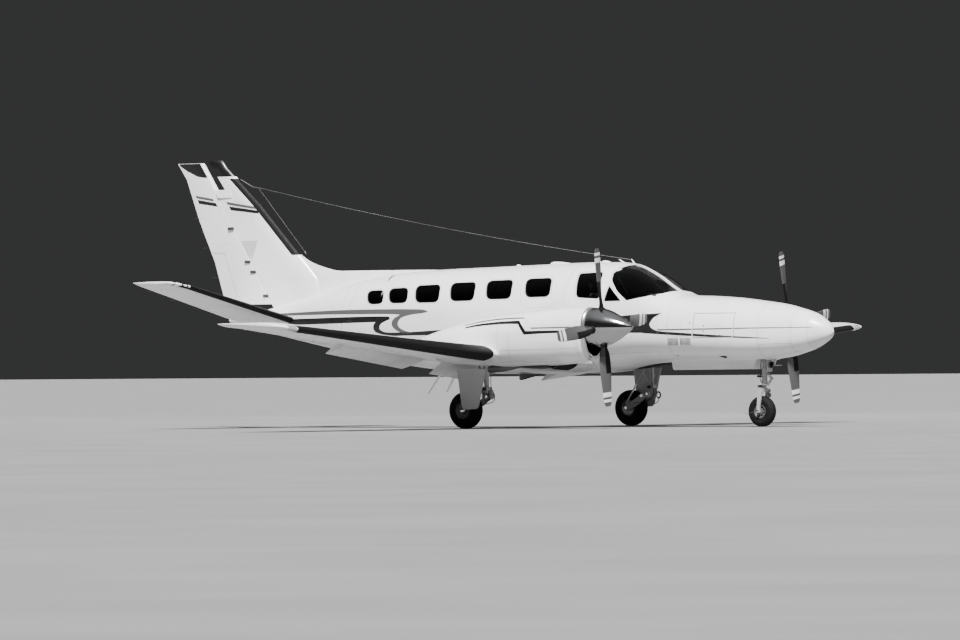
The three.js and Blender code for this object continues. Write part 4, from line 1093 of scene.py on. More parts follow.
def make_tail():
    levels = np.concatenate([np.linspace(1.78, FIN_CAP_Z, 34), np.linspace(3.87, 4.074, 10)])
    fin = add_mesh("fin", loft([fin_ring(z) for z in levels]), smooth=0)
    ends = [{"hinge": (s, 0, z), "r": r, "chord": rear - s} for z, s, rear, r in RUDDER]
    space = [dict(ends[0], hinge=(10.03, 0, 1.762))] + ends[1:]
    combine(fin, hinged(space, grow=CLEAR, level=True))
    combine(fin, prism([(10.946, 3.62), (11.29, 4.09), (12, 4.09), (12, 3.62)],
                       (-0.2, 0.2), "side"))
    finish_mesh(fin, WHITE, "airframe", replaces=["fin"])
    paint_above(fin, FIN_CAP_Z)

    rings = []
    for s, top in spline(DORSAL, 5):
        foot = crown_z(s) - 0.12
        base = 0.035 + 0.06 * min(1, max(0, (s - 6.9) / 2.2))
        half = []
        for t in (0, 0.04, 0.12, 0.3, 0.5, 0.7, 0.85, 1):
            w = 0.004 + 0.012 * min(1, t * 8) + (base - 0.016) * t ** 1.6
            half.append((w, top + (foot - top) * t))
        rings.append([pt(s, w, z) for w, z in half] + [pt(s, -w, z) for w, z in half[::-1]])
    add_mesh("dorsal fin", loft(rings), WHITE, "airframe")

    rudder = add_mesh("rudder", hinged(ends, level=True), WHITE, "rudder",
                      smooth=40, replaces=["rudder"])
    paint_above(rudder, RUDDER_CAP_Z)

    rings = []
    for side in (-1, 1):
        stations = np.concatenate([np.linspace(0.02, 2.7, 20), np.linspace(2.72, 2.9, 12)])
        rows = [rows_at(TAILPLANE, y)[0] for y in stations]
        rings += [airfoil_ring(r, side, 0) for r in (rows[::-1] if side < 0 else rows)]
    plane = add_mesh("tailplane", loft(rings), smooth=0)
    for name, side in SIDES.items():
        ends = hinge_ends(TAILPLANE, ELEVATOR_Y, side, ELEVATOR_FRACTION, 0)
        combine(plane, hinged(ends, grow=CLEAR))
        add_mesh(f"elevator {name}", hinged(ends), WHITE, f"elevator_{name}",
                 smooth=40, replaces=[f"elevator_{name}"])
    finish_mesh(plane, WHITE, "airframe", replaces=["tailplane"])


# Wings and nacelles
def make_wings():
    for name, side in SIDES.items():
        stations = np.concatenate([np.linspace(0.45, 7.2, 46), np.linspace(7.22, 7.52, 16)])
        rows = [rows_at(WING, y)[0] for y in stations]
        wing = add_mesh(f"wing {name}", loft([airfoil_ring(r, side, CAMBER) for r in rows]),
                        smooth=0)
        for surface, (y0, y1, turn) in SURFACES.items():
            ends = hinge_ends(WING, (y0, y1), side, FLAP_FRACTION, CAMBER)
            combine(wing, hinged(ends, grow=CLEAR))
            body = f"{surface}_{name}"
            add_mesh(body.replace("_", " "), hinged(ends, turn), NACELLE_WHITE, body,
                     smooth=40, replaces=[body])
        leg_slot = block(4.56, 5.05, *sorted((y * side for y in (TRACK_HALF - 0.16,
                                                                 TRACK_HALF + 0.1))), 0.6, 1.06)
        combine(wing, leg_slot)
        finish_mesh(wing, NACELLE_WHITE, "airframe", replaces=[f"wing_{name}"])

        rear = add_mesh(f"nacelle rear {name}", nacelle(COWL_REAR_S, 5.63, 0, side), smooth=0)
        ends = hinge_ends(WING, SURFACES["flap_inner"][:2], side, FLAP_FRACTION, CAMBER)
        combine(rear, hinged(ends, grow=CLEAR))
        combine(rear, leg_slot)
        finish_mesh(rear, NACELLE_WHITE, "airframe")

        make_cowl(name, side)


def intake_outline(engine, shrink=0.0):
    """The crescent mouth under the spinner, seen from the front (y, z)."""
    _, _, keel, half, middle = NACELLE[0]
    lip, boss = INTAKE["lip"] + shrink, INTAKE["boss"] + shrink
    outline = []
    for i in range(29):
        a = math.radians(192 + 156 * i / 28)
        c, v = math.cos(a), math.sin(a)
        outline.append((math.copysign(abs(c) ** (2 / 2.4), c) * (half - lip),
                        middle - abs(v) ** (2 / 2.4) * (middle - keel - lip)))
    start = math.asin((PROP_Z - INTAKE["top"] + shrink) / boss)
    for i in range(21):
        a = -start - (math.pi - 2 * start) * i / 20
        outline.append((boss * math.cos(a), PROP_Z + boss * math.sin(a)))
    return [(y + ENGINE_Y * engine, z) for y, z in outline]


def scoop_body(engine, inset, s1):
    """The scoop under a cowl back to a station, drawn in by an inset."""
    rows = [(SCOOP[0][0] - inset,) + SCOOP[0][1:]]
    rows += [tuple(rows_at(SCOOP, s)[0]) for s in np.linspace(SCOOP[0][0] + 0.03, s1, 16)]
    rings = []
    for s, low, half in rows:
        w, z = half - inset, low + inset
        ring = [(w, z + 0.1), (w, z + 0.03)]
        ring += [(w - 0.03 + 0.03 * math.cos(a), z + 0.03 - 0.03 * math.sin(a))
                 for a in np.radians((22, 45, 68, 90))]
        ring += [(-y, up) for y, up in reversed(ring)]
        rings.append([pt(s, ENGINE_Y * engine + y, up) for y, up in ring])
    return loft(rings)


def make_cowl(name, side):
    ey = ENGINE_Y * side
    lip = [(2.51, 0.022), (2.514, 0.012), (2.522, 0.005), (2.54, 0.0)]
    cowl = add_mesh(f"cowl {name}", nacelle(COWL_LIP_S, COWL_REAR_S - HAIR, 0, side, front=lip),
                    smooth=0)
    combine(cowl, nacelle(COWL_LIP_S, COWL_REAR_S - 0.05, 0.02, side, n=48))
    combine(cowl, prism(intake_outline(side), (2.4, 2.6), "front"))
    combine(cowl, turned(pt(2.4, ey, PROP_Z), pt(3, ey, PROP_Z), [(0, 0.1), (0.3, 0.1)], 32))
    finish_mesh(cowl, NACELLE_WHITE, "airframe", replaces=[f"cowl_{name}"])
    # The cowl's inner faces take near-black painted shade; outer faces ahead of the lip station
    # are bare metal
    for mat in (PAINTED_SHADE_DARK, LIP_METAL):
        cowl.data.materials.append(mat)
    centres = face_centres(cowl)
    rows = nacelle_rows(NOSE_X - centres[:, 0])
    within = under_skin(centres, rows, NACELLE_POWERS[1], 0.01, ey)
    within &= centres[:, 0] < NOSE_X - 2.53
    index = np.where(within, 1, np.where(centres[:, 0] > NOSE_X - COWL_LIP_S, 2, 0))
    cowl.data.polygons.foreach_set("material_index", index.astype(np.int32))

    mouth = SCOOP[0][0]
    scoop = add_mesh(f"cowl scoop {name}", scoop_body(side, 0, SCOOP[-1][0]), smooth=0)
    combine(scoop, nacelle(COWL_LIP_S, COWL_REAR_S - 0.05, 0.004, side, n=48))
    combine(scoop, scoop_body(side, 0.008, mouth + SCOOP_MOUTH))
    # The scoop is black all over: partly its own colour, partly painted shade for its shaded
    # underside
    finish_mesh(scoop, BLACK_PAINT, "airframe")
    # A near-black body behind the scoop's mouth, painted shade for the hollow
    throat = add_mesh(f"scoop throat {name}", scoop_body(side, 0.0085, mouth + SCOOP_MOUTH),
                      smooth=0)
    combine(throat, block(mouth - 0.1, mouth + 0.05, ey - 0.3, ey + 0.3, 0.8, 1.1))
    finish_mesh(throat, PAINTED_SHADE_DARK, "airframe")

    # Duct walls behind the intake mouth, in near-black painted shade
    wide, tight = intake_outline(side, -0.002), intake_outline(side, 0.03)
    rings = [[pt(2.545, y, z) for y, z in wide], [pt(2.95, y, z + 0.05) for y, z in tight],
             [pt(2.94, y, z + 0.05) for y, z in intake_outline(side, 0.032)],
             [pt(2.545, y, z) for y, z in intake_outline(side, 0.0005)]]
    rings.append(rings[0])
    add_mesh(f"intake duct {name}", merged([
        loft(rings, caps=False), prism([(y, z + 0.05) for y, z in tight], (2.951, 2.96), "front"),
    ]), PAINTED_SHADE_DARK, "airframe", smooth=30)
    edge = intake_outline(side, 0.001)
    rolled = tube([pt(2.516, y, z) for y, z in edge + edge[:1]], 0.007, 8)
    add_mesh(f"intake lip {name}", rolled, POLISHED, "airframe", smooth=40)


def blade_out(a):
    """The way that a blade points when it stands at an angle round the hub."""
    return np.array((0, -math.sin(a), math.cos(a)))


def blade_along(a, pitch):
    """The way from a blade section's rear edge to its front edge."""
    p = math.radians(pitch)
    return AHEAD * math.sin(p) - np.array((0, math.cos(a), math.sin(a))) * math.cos(p)


def blade_ring(r, a, share=1.0):
    """A blade section at a radius, with a share of its chord."""
    chord, thick, pitch = rows_at(BLADES, r)[0, 1:]
    chord *= share
    out, along = blade_out(a), blade_along(a, pitch)
    across = np.cross(out, along)
    round_part = min(1, max(0, (0.4 - r) / 0.16))
    ring = []
    n = 14
    for sign in (1, -1):
        for i in range(n):
            x = 0.5 - 0.5 * math.cos(math.pi * i / n)
            if sign < 0:
                x = 1 - x
            wing = thickness_at(x * 0.98) * 0.5 * thick * 2
            circle = math.sqrt(max(0, x * (1 - x))) * thick
            v = sign * (wing * (1 - round_part) + circle * round_part)
            v += (1 - round_part) * 0.12 * thick * 4 * x * (1 - x)
            ring.append(along * (0.5 - x) * chord + across * v)
    return [q + out * r for q in ring]


def make_propeller(name, side):
    centre = pt(PROP_S, ENGINE_Y * side, PROP_Z)
    body = f"prop_{name}"
    angles = [math.radians(90 * k + LEAN[name]) for k in range(4)]
    outs = [blade_out(a) for a in angles]
    cap = {1.115: 0.99, 1.128: 0.96, 1.137: 0.88, 1.143: 0.7}
    radii = sorted(set(np.round(np.linspace(0.17, 1.1, 42), 4)) | set(cap)
                   | {edge for band in TIP_BANDS for edge in band})
    blades = merged([
        loft([[centre + q for q in blade_ring(r, a, cap.get(r, 1))] for r in radii])
        for a in angles
    ])
    base = pt(SPINNER_BASE_S - 0.0123, ENGINE_Y * side, PROP_Z)
    ahead = base + AHEAD
    piece = add_mesh(f"propeller {name}", blades, BLADE, body, smooth=40,
                     replaces=[f"propeller_{name}"])
    for mat in (BAND_PAINT, BLADE_FACE, BOOT):
        piece.data.materials.append(mat)
    plain, band, face, boot = range(4)
    index = []
    for f in piece.data.polygons:
        q = np.array(f.center) - centre
        nearest = int(np.argmax([np.dot(q, out) for out in outs]))
        r = float(np.dot(q, outs[nearest]))
        ahead_of_middle = np.dot(q, blade_along(angles[nearest], rows_at(BLADES, r)[0, 3])) > 0
        if any(low < r < high for low, high in TIP_BANDS):
            index.append(band)
        elif 0.27 < r < 0.66 and ahead_of_middle:
            index.append(boot)
        else:
            index.append(face if f.normal[0] > 0.1 and r > 0.42 else plain)
    piece.data.polygons.foreach_set("material_index", index)

    hub = [turned(base, ahead, [(0, 0.1), (0.02, 0.135), (0.05, 0.18), (0.19, 0.18), (0.225, 0.14),
                                (0.24, 0.1)], 40)]
    for out in outs:
        hub.append(turned(centre + out * 0.12, centre + out,
                          [(0, 0.055), (0.05, 0.062), (0.09, 0.062), (0.1, 0.05)], 28))
    add_mesh(f"hub {name}", merged(hub), STEEL, body, smooth=30)
    cuffs = [turned(centre + out * 0.232, centre + out,
                    [(0, 0.055), (0.004, 0.0585), (0.045, 0.0585), (0.05, 0.054)], 28)
             for out in outs]
    add_mesh(f"blade cuffs {name}", merged(cuffs), BOOT, body, smooth=30)

    start = pt(SPINNER_BASE_S, ENGINE_Y * side, PROP_Z)
    profile = [(float(t), float(r)) for t, r in
               (rows_at(SPINNER, t)[0] for t in np.concatenate(
                   [np.linspace(0, 0.6, 40), np.linspace(0.61, 0.649, 12)]))]
    shell = add_mesh(f"spinner {name}", turned(start, start + AHEAD, profile, 72), smooth=0)
    inner = [(t + (-0.01 if i == 0 else 0), max(r - 0.006, 0.001))
             for i, (t, r) in enumerate(profile[:-6])]
    combine(shell, turned(start, start + AHEAD, inner, 48))
    for out in outs:
        combine(shell, turned(centre + out * 0.1, centre + out, [(0, 0.062), (0.3, 0.062)], 40))
    finish_mesh(shell, POLISHED, body, smooth=40,
                replaces=[f"spinner_{name}"])
    plate = [(0, 0.11), (0, 0.278), (0.003, 0.283), (0.008, 0.283), (0.008, 0.11)]
    add_mesh(f"spinner backplate {name}", turned(start - 0.009 * AHEAD, start, plate, 72), STEEL,
             body, smooth=30)
    rivets = []
    for i in range(36):
        a = 2 * math.pi * i / 36
        at = start + np.array((0.022, 0.2846 * math.cos(a), 0.2846 * math.sin(a)))
        away = np.array((0, math.cos(a), math.sin(a)))
        rivets.append(turned(at, at + away, [(0, 0.0042), (0.0006, 0.0035)], 8))
    add_mesh(f"spinner fasteners {name}", merged(rivets), DARK_STEEL, body, smooth=30)


def make_propellers():
    for name, side in SIDES.items():
        make_propeller(name, side)
        make_engine(name)


def make_engine(name):
    """The engine's plain block, as the solids have it."""
    low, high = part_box(f"engine_{name}")
    engine = add_mesh(f"engine block {name}", rounded_box(
        (NOSE_X - high[0], low[1], low[2]), (NOSE_X - low[0], high[1], high[2]), 0.03, 3),
        STEEL, "airframe", smooth=30, replaces=[f"engine_{name}"])


# Stripes and boots
def curved(*runs):
    """An outline from runs of points, smooth within each run and cornered between them."""
    out = []
    for run in runs:
        if len(run) > 2:
            out += [tuple(p) for p in spline(run, 6)[:-1]]
        else:
            out += [tuple(p) for p in run[:-1]]
    out.append(tuple(runs[-1][-1]))
    if np.allclose(out[0], out[-1]):
        out.pop()
    return out


def rectangle(s0, s1, z0, z1, grow=0.0):
    return [(s0 - grow, z0 - grow), (s1 + grow, z0 - grow), (s1 + grow, z1 + grow),
            (s0 - grow, z1 + grow)]


def doors_on(side):
    """Door leaves that carry their own share of a stripe: outline and body."""
    name = "left" if side > 0 else "right"
    bay = (BAY["s"] - BAY["half"], BAY["s"] + BAY["half"], BAY["low"], BAY["high"])
    out = [(bay, f"bay_door_{name}")]
    if side > 0:
        s0, s1 = DOOR["s"] - DOOR["half"], DOOR["s"] + DOOR["half"]
        out.append(((s0, s1, DOOR["low"], DOOR["split"] - 0.004), "door_lower"))
        out.append(((s0, s1, DOOR["split"] + 0.004, DOOR["high"]), "door_upper"))
    return out


def patch(name, outline, place, mat, step=0.05, doors=(), body="airframe"):
    """A thin painted or glued shape on a surface, shared out between the leaves under it."""
    lines = [rectangle(*box, grow=g) for box, _ in doors for g in (0.002, -0.011)]
    points, tris = filled(outline, step, lines=lines)
    middles = [sum(points[i] for i in tri) / 3 for tri in tris]
    owners = [body] * len(tris)
    for box, leaf in doors:
        near = inside(middles, rectangle(*box, grow=0.002))
        within = inside(middles, rectangle(*box, grow=-0.011))
        for i in np.flatnonzero(near):
            owners[i] = leaf if within[i] else None
    shares = {}
    for tri, owner in zip(tris, owners):
        if owner:
            shares.setdefault(owner, []).append(tri)
    verts = place(points)
    for owner, faces in shares.items():
        used = sorted({i for f in faces for i in f})
        at = {v: i for i, v in enumerate(used)}
        shape = ([verts[i] for i in used], [tuple(at[i] for i in f) for f in faces])
        title = name if owner == body else f"{name} {owner}"
        add_mesh(title, shape, mat, owner, smooth=60)


REAR_GREY = curved(
    [(9.728, 1.731), (9.083, 1.749), (8.359, 1.767), (7.412, 1.771), (6.85, 1.763), (6.72, 1.745),
     (6.69, 1.727), (6.782, 1.705), (7.002, 1.683), (7.178, 1.639), (7.24, 1.562), (7.214, 1.499),
     (7.114, 1.449), (6.961, 1.416)],
    [(6.961, 1.416), (7.1, 1.41), (7.205, 1.425), (7.322, 1.486), (7.36, 1.56), (7.312, 1.633),
     (7.203, 1.685)],
    [(7.203, 1.685), (7.404, 1.697), (8.351, 1.703), (9.073, 1.7), (9.663, 1.695)],
    [(9.663, 1.695), (9.728, 1.731)],
)
LONG_BLACK = curved(
    [(9.537, 1.64), (8.962, 1.649), (8.347, 1.66), (7.864, 1.665), (7.46, 1.664), (7.4, 1.648),
     (7.4, 1.62), (7.467, 1.596), (7.56, 1.555), (7.594, 1.502), (7.559, 1.453), (7.407, 1.423),
     (6.96, 1.43), (6.629, 1.445), (5.4, 1.5), (4.2, 1.572), (3.299, 1.629), (3.106, 1.641),
     (2.899, 1.649), (2.73, 1.658), (2.563, 1.668)],
    [(2.563, 1.668), (2.62, 1.636), (2.691, 1.595), (2.739, 1.533), (2.75, 1.498), (2.718, 1.449),
     (2.638, 1.413), (2.55, 1.399)],
    [(2.55, 1.399), (2.245, 1.378), (1.595, 1.334), (0.841, 1.288)],
    [(0.841, 1.288), (0.841, 1.28)],
    [(0.841, 1.28), (1.596, 1.305), (2.246, 1.336), (2.795, 1.37), (3.075, 1.382), (4.6, 1.382),
     (6.1, 1.379), (7.054, 1.376), (7.413, 1.374), (7.629, 1.415), (7.704, 1.461), (7.714, 1.528),
     (7.671, 1.582)],
    [(7.671, 1.582), (8.346, 1.57), (8.963, 1.56), (9.539, 1.554)],
    [(9.539, 1.554), (9.537, 1.64)],
)
NOSE_LINE = [(2.64, 1.432), (1.596, 1.439), (0.978, 1.4435), (0.238, 1.442), (0.236, 1.433),
             (0.978, 1.428), (1.596, 1.421), (2.6, 1.411)]
# Stepped twin stripe on the cowl, seen from the side
COWL_STRIPES = {
    "grey": (curved(
        [(4.648, 1.512), (4.36, 1.562), (4.101, 1.592), (3.85, 1.606), (3.5, 1.614)],
        [(3.4, 1.464), (3.139, 1.466), (2.64, 1.47)],
        [(2.64, 1.452), (2.847, 1.45), (3.139, 1.447), (3.43, 1.445)],
        [(3.53, 1.594), (3.85, 1.586), (4.101, 1.572), (4.36, 1.543), (4.648, 1.498)],
    ), GREY_PAINT),
    "black": (curved(
        [(4.62, 1.478), (4.36, 1.522), (4.059, 1.548), (3.85, 1.56), (3.575, 1.566)],
        [(3.475, 1.414), (3.137, 1.417), (2.829, 1.42), (2.64, 1.421)],
        [(2.64, 1.386), (2.829, 1.383), (3.137, 1.377), (3.396, 1.366), (3.53, 1.36)],
        [(3.63, 1.516), (3.85, 1.518), (4.059, 1.51), (4.36, 1.49), (4.6, 1.46)],
    ), BLACK_PAINT),
}


def make_stripes():
    for name, side in SIDES.items():
        doors = doors_on(side)
        skin = on_fuselage(side)
        patch(f"long black stripe {name}", LONG_BLACK, skin, BLACK_PAINT, doors=doors)
        patch(f"rear grey stripe {name}", REAR_GREY, skin, GREY_PAINT, doors=doors)
        patch(f"nose grey line {name}", NOSE_LINE, skin, GREY_PAINT, doors=doors)
        for engine_name, engine in SIDES.items():
            skin = on_nacelle(engine, side)
            title = f"{engine_name} {'outer' if side == engine else 'inner'}"
            for part, (outline, mat) in COWL_STRIPES.items():
                patch(f"cowl {part} {title}", outline, skin, mat, step=0.04)
    make_fin_paint()
    make_boots()


def on_fin(side):
    """Places (s, z) on a side of the fin."""
    def place(points):
        return [pt(s, (fin_half(z, s) + 0.0012) * side, z) for s, z in points]
    return place


def rudder_half(z, s):
    """Half thickness of the rudder at a height and station."""
    _, hinge, rear, r = straight_row(RUDDER, z)
    if s <= hinge:
        return math.sqrt(max(0, r * r - (hinge - s) ** 2))
    t = min(1, (s - hinge) / (rear - hinge))
    return r * (1 - t) * (1 + 0.35 * t) + 0.002 * t


def on_rudder(side, lift=0.0015):
    """Places (s, z) on a side of the rudder."""
    def place(points):
        return [pt(s, (rudder_half(z, s) + lift) * side, z) for s, z in points]
    return place


def make_fin_paint():
    for name, side in SIDES.items():
        fin, rudder = on_fin(side), on_rudder(side)
        # Painted shadow: a grey field ahead of the hinge, for the shadow below a small plate on
        # the fin that is not built
        patch(f"fin grey field {name}", [(10.655, 2.841), (10.319, 2.843), (10.38, 2.7),
                                         (10.44, 2.56), (10.505, 2.6), (10.56, 2.69)],
              fin, FIN_PAINTED_SHADOW, 0.03)
        patch(f"fin stripe grey {name}", [(10.93, 3.44), (10.341, 3.35), (10.341, 3.315),
                                          (10.9, 3.395)], fin, GREY_PAINT, 0.03)
        patch(f"fin stripe black {name}", [(10.88, 3.37), (10.341, 3.3), (10.3, 3.25),
                                           (10.84, 3.31)], fin, BLACK_PAINT, 0.03)
        patch(f"rudder cap paint {name}", [(11.85, 4.0), (11.713, 3.926), (11.512, 3.839),
                                           (11.4, 3.818), (11.29, 3.812), (11.42, 4.0),
                                           (11.44, 4.03), (11.86, 4.03)],
              rudder, BLACK_PAINT, 0.03, body="rudder")
        patch(f"rudder stripe grey {name}", [(11.55, 3.545), (11.2, 3.49), (11.17, 3.45),
                                             (11.53, 3.505)], rudder, GREY_PAINT, 0.03,
              body="rudder")
        patch(f"rudder stripe black {name}", [(11.51, 3.48), (11.14, 3.425), (11.1, 3.37),
                                              (11.48, 3.42)], rudder, BLACK_PAINT, 0.03,
              body="rudder")


def edge_strip(table, stations, side, reach, camber, lift):
    """A strip round the leading edge, reach (inner, outer) along the chord on both sides."""
    rings = []
    for i, y in enumerate(stations):
        row = rows_at(table, y)[0]
        wide = reach[0] + (reach[1] - reach[0]) * i / (len(stations) - 1)
        xs = np.linspace(1, 0, 11) ** 2 * wide / row[3]
        top = [section_point(row, x, 1, camber, lift) for x in xs[:-1]]
        nose = section_point(row, 0, 0, camber)
        low = [section_point(row, x, -1, camber, lift) for x in xs[-2::-1]]
        ring = top + [(nose[0] - lift, nose[1], nose[2])] + low
        rings.append([pt(s, w * side, z) for s, w, z in ring])
    return loft(rings, closed=False, caps=False)


def make_boots():
    """De-icer boots round the leading edges."""
    for name, side in SIDES.items():
        for title, table, stations, reach, camber in (
            ("wing de-icer boot", WING, np.linspace(2.86, 7.2, 60), (0.19, 0.085), CAMBER),
            ("inner wing boot", WING, np.linspace(0.86, 2.02, 20), (0.2, 0.19), CAMBER),
            ("tailplane de-icer boot", TAILPLANE, np.linspace(0.34, 2.86, 40), (0.1, 0.07), 0),
        ):
            strip = edge_strip(table, stations, side, reach, camber, BOOT_LIFT)
            add_mesh(f"{title} {name}", strip, BOOT, "airframe", smooth=60)
    rings = []
    for z in np.linspace(2.615, 3.79, 40):
        front = straight_row(FIN, z)[1]
        aft = [0.125 * k ** 2 for k in np.linspace(1, 0, 10)]
        ring = [(front + d, fin_half(z, front + d) + BOOT_LIFT) for d in aft[:-1]]
        ring += [(front - BOOT_LIFT, 0.0)] + [(s, -y) for s, y in ring[::-1]]
        rings.append([pt(s, y, z) for s, y in ring])
    add_mesh("fin de-icer boot", loft(rings, closed=False, caps=False), BOOT, "airframe",
             smooth=60)


# Landing gear
def wheel_turned(s, z, y0, profile, n=96, caps=True):
    """A round body on a wheel's axle: profile is (y, radius)."""
    start = pt(s, y0, z)
    return turned(start, start + TO_PORT, profile, n, caps)


def tyre_profile(w, r0, big, grooves):
    """Half width, bead radius, outer radius and the grooves' places across the tread."""
    half = [(-w + 0.01, r0), (-w + 0.003, r0 + 0.012), (-w + 0.0005, r0 + 0.03),
            (-w, r0 + 0.045), (-w + 0.0018, r0 + 0.06), (-w + 0.0002, r0 + 0.064),
            (-w + 0.003, r0 + 0.074), (-w + 0.011, big - 0.038), (-w + 0.021, big - 0.022),
            (-w + 0.033, big - 0.0115), (-w + 0.044, big - 0.0055)]
    tread = []
    for g in grooves:
        crown = big - 0.0055 * (abs(g) / (w - 0.044)) ** 2
        tread += [(g - 0.003, crown), (g - 0.0022, crown - 0.006), (g + 0.0022, crown - 0.006),
                  (g + 0.003, crown)]
    return half + tread + [(-y, r) for y, r in reversed(half)]


def make_wheel(title, body, names, s, y, w, r0, big, axle_r, grooves, dish, holes):
    """A tyre (half width w, bead radius r0, outer radius big) and its dished rim."""
    centre_z = big
    profile = tyre_profile(w, r0, big, grooves)
    profile.append(profile[0])
    add_mesh(f"{title} tyre", wheel_turned(s, centre_z, y, profile, 128, caps=False), TYRE, body,
             smooth=38, replaces=[names[0]])
    e = r0 - 0.0003
    face = [(-w + 0.012, e), (-w + 0.005, e - 0.0015), (-w + 0.0035, e - 0.006),
            (-w + 0.006, e - 0.011), (-w + 0.016, e - 0.016), (-w + dish, e - 0.022),
            (-w + dish + 0.006, e - 0.034), (-w + dish + 0.004, 0.052),
            (-w + dish - 0.012, 0.046), (-w + 0.012, 0.043), (-w + 0.01, axle_r + 0.002)]
    loop = face + [(-q, r) for q, r in reversed(face)]
    loop.append(loop[0])
    rim = add_mesh(f"{title} rim", wheel_turned(s, centre_z, y, loop, 96, caps=False), smooth=0)
    ring_r = (e - 0.03 + 0.052) / 2

    def on_ring(i, across):
        """A point on the circle that the holes and bolts share."""
        a = 2 * math.pi * i / holes
        return pt(s + ring_r * math.cos(a), y + across, centre_z + ring_r * math.sin(a))

    for i in range(holes):
        at = on_ring(i + 0.5, -0.3)
        combine(rim, turned(at, at + TO_PORT, [(0, 0.0095), (0.6, 0.0095)], 16))
    finish_mesh(rim, RIM, body, smooth=30, replaces=[names[1]])
    bolts = []
    for side in (-1, 1):
        for i in range(holes):
            at = on_ring(i, side * (w - dish - 0.004))
            bolts.append(turned(at, at + side * TO_PORT,
                                [(0, 0.0085), (0.002, 0.0085), (0.0025, 0.006), (0.009, 0.006),
                                 (0.0095, 0.0035), (0.014, 0.0032)], 6))
    add_mesh(f"{title} bolts", merged(bolts), STEEL, body, smooth=20)
    valve = pt(s + 0.02, y - w + 0.014, centre_z + e - 0.03)
    add_mesh(f"{title} valve", rod(valve, valve + np.array((0.002, -0.012, -0.004)), 0.003, 10),
             DARK_STEEL, body)


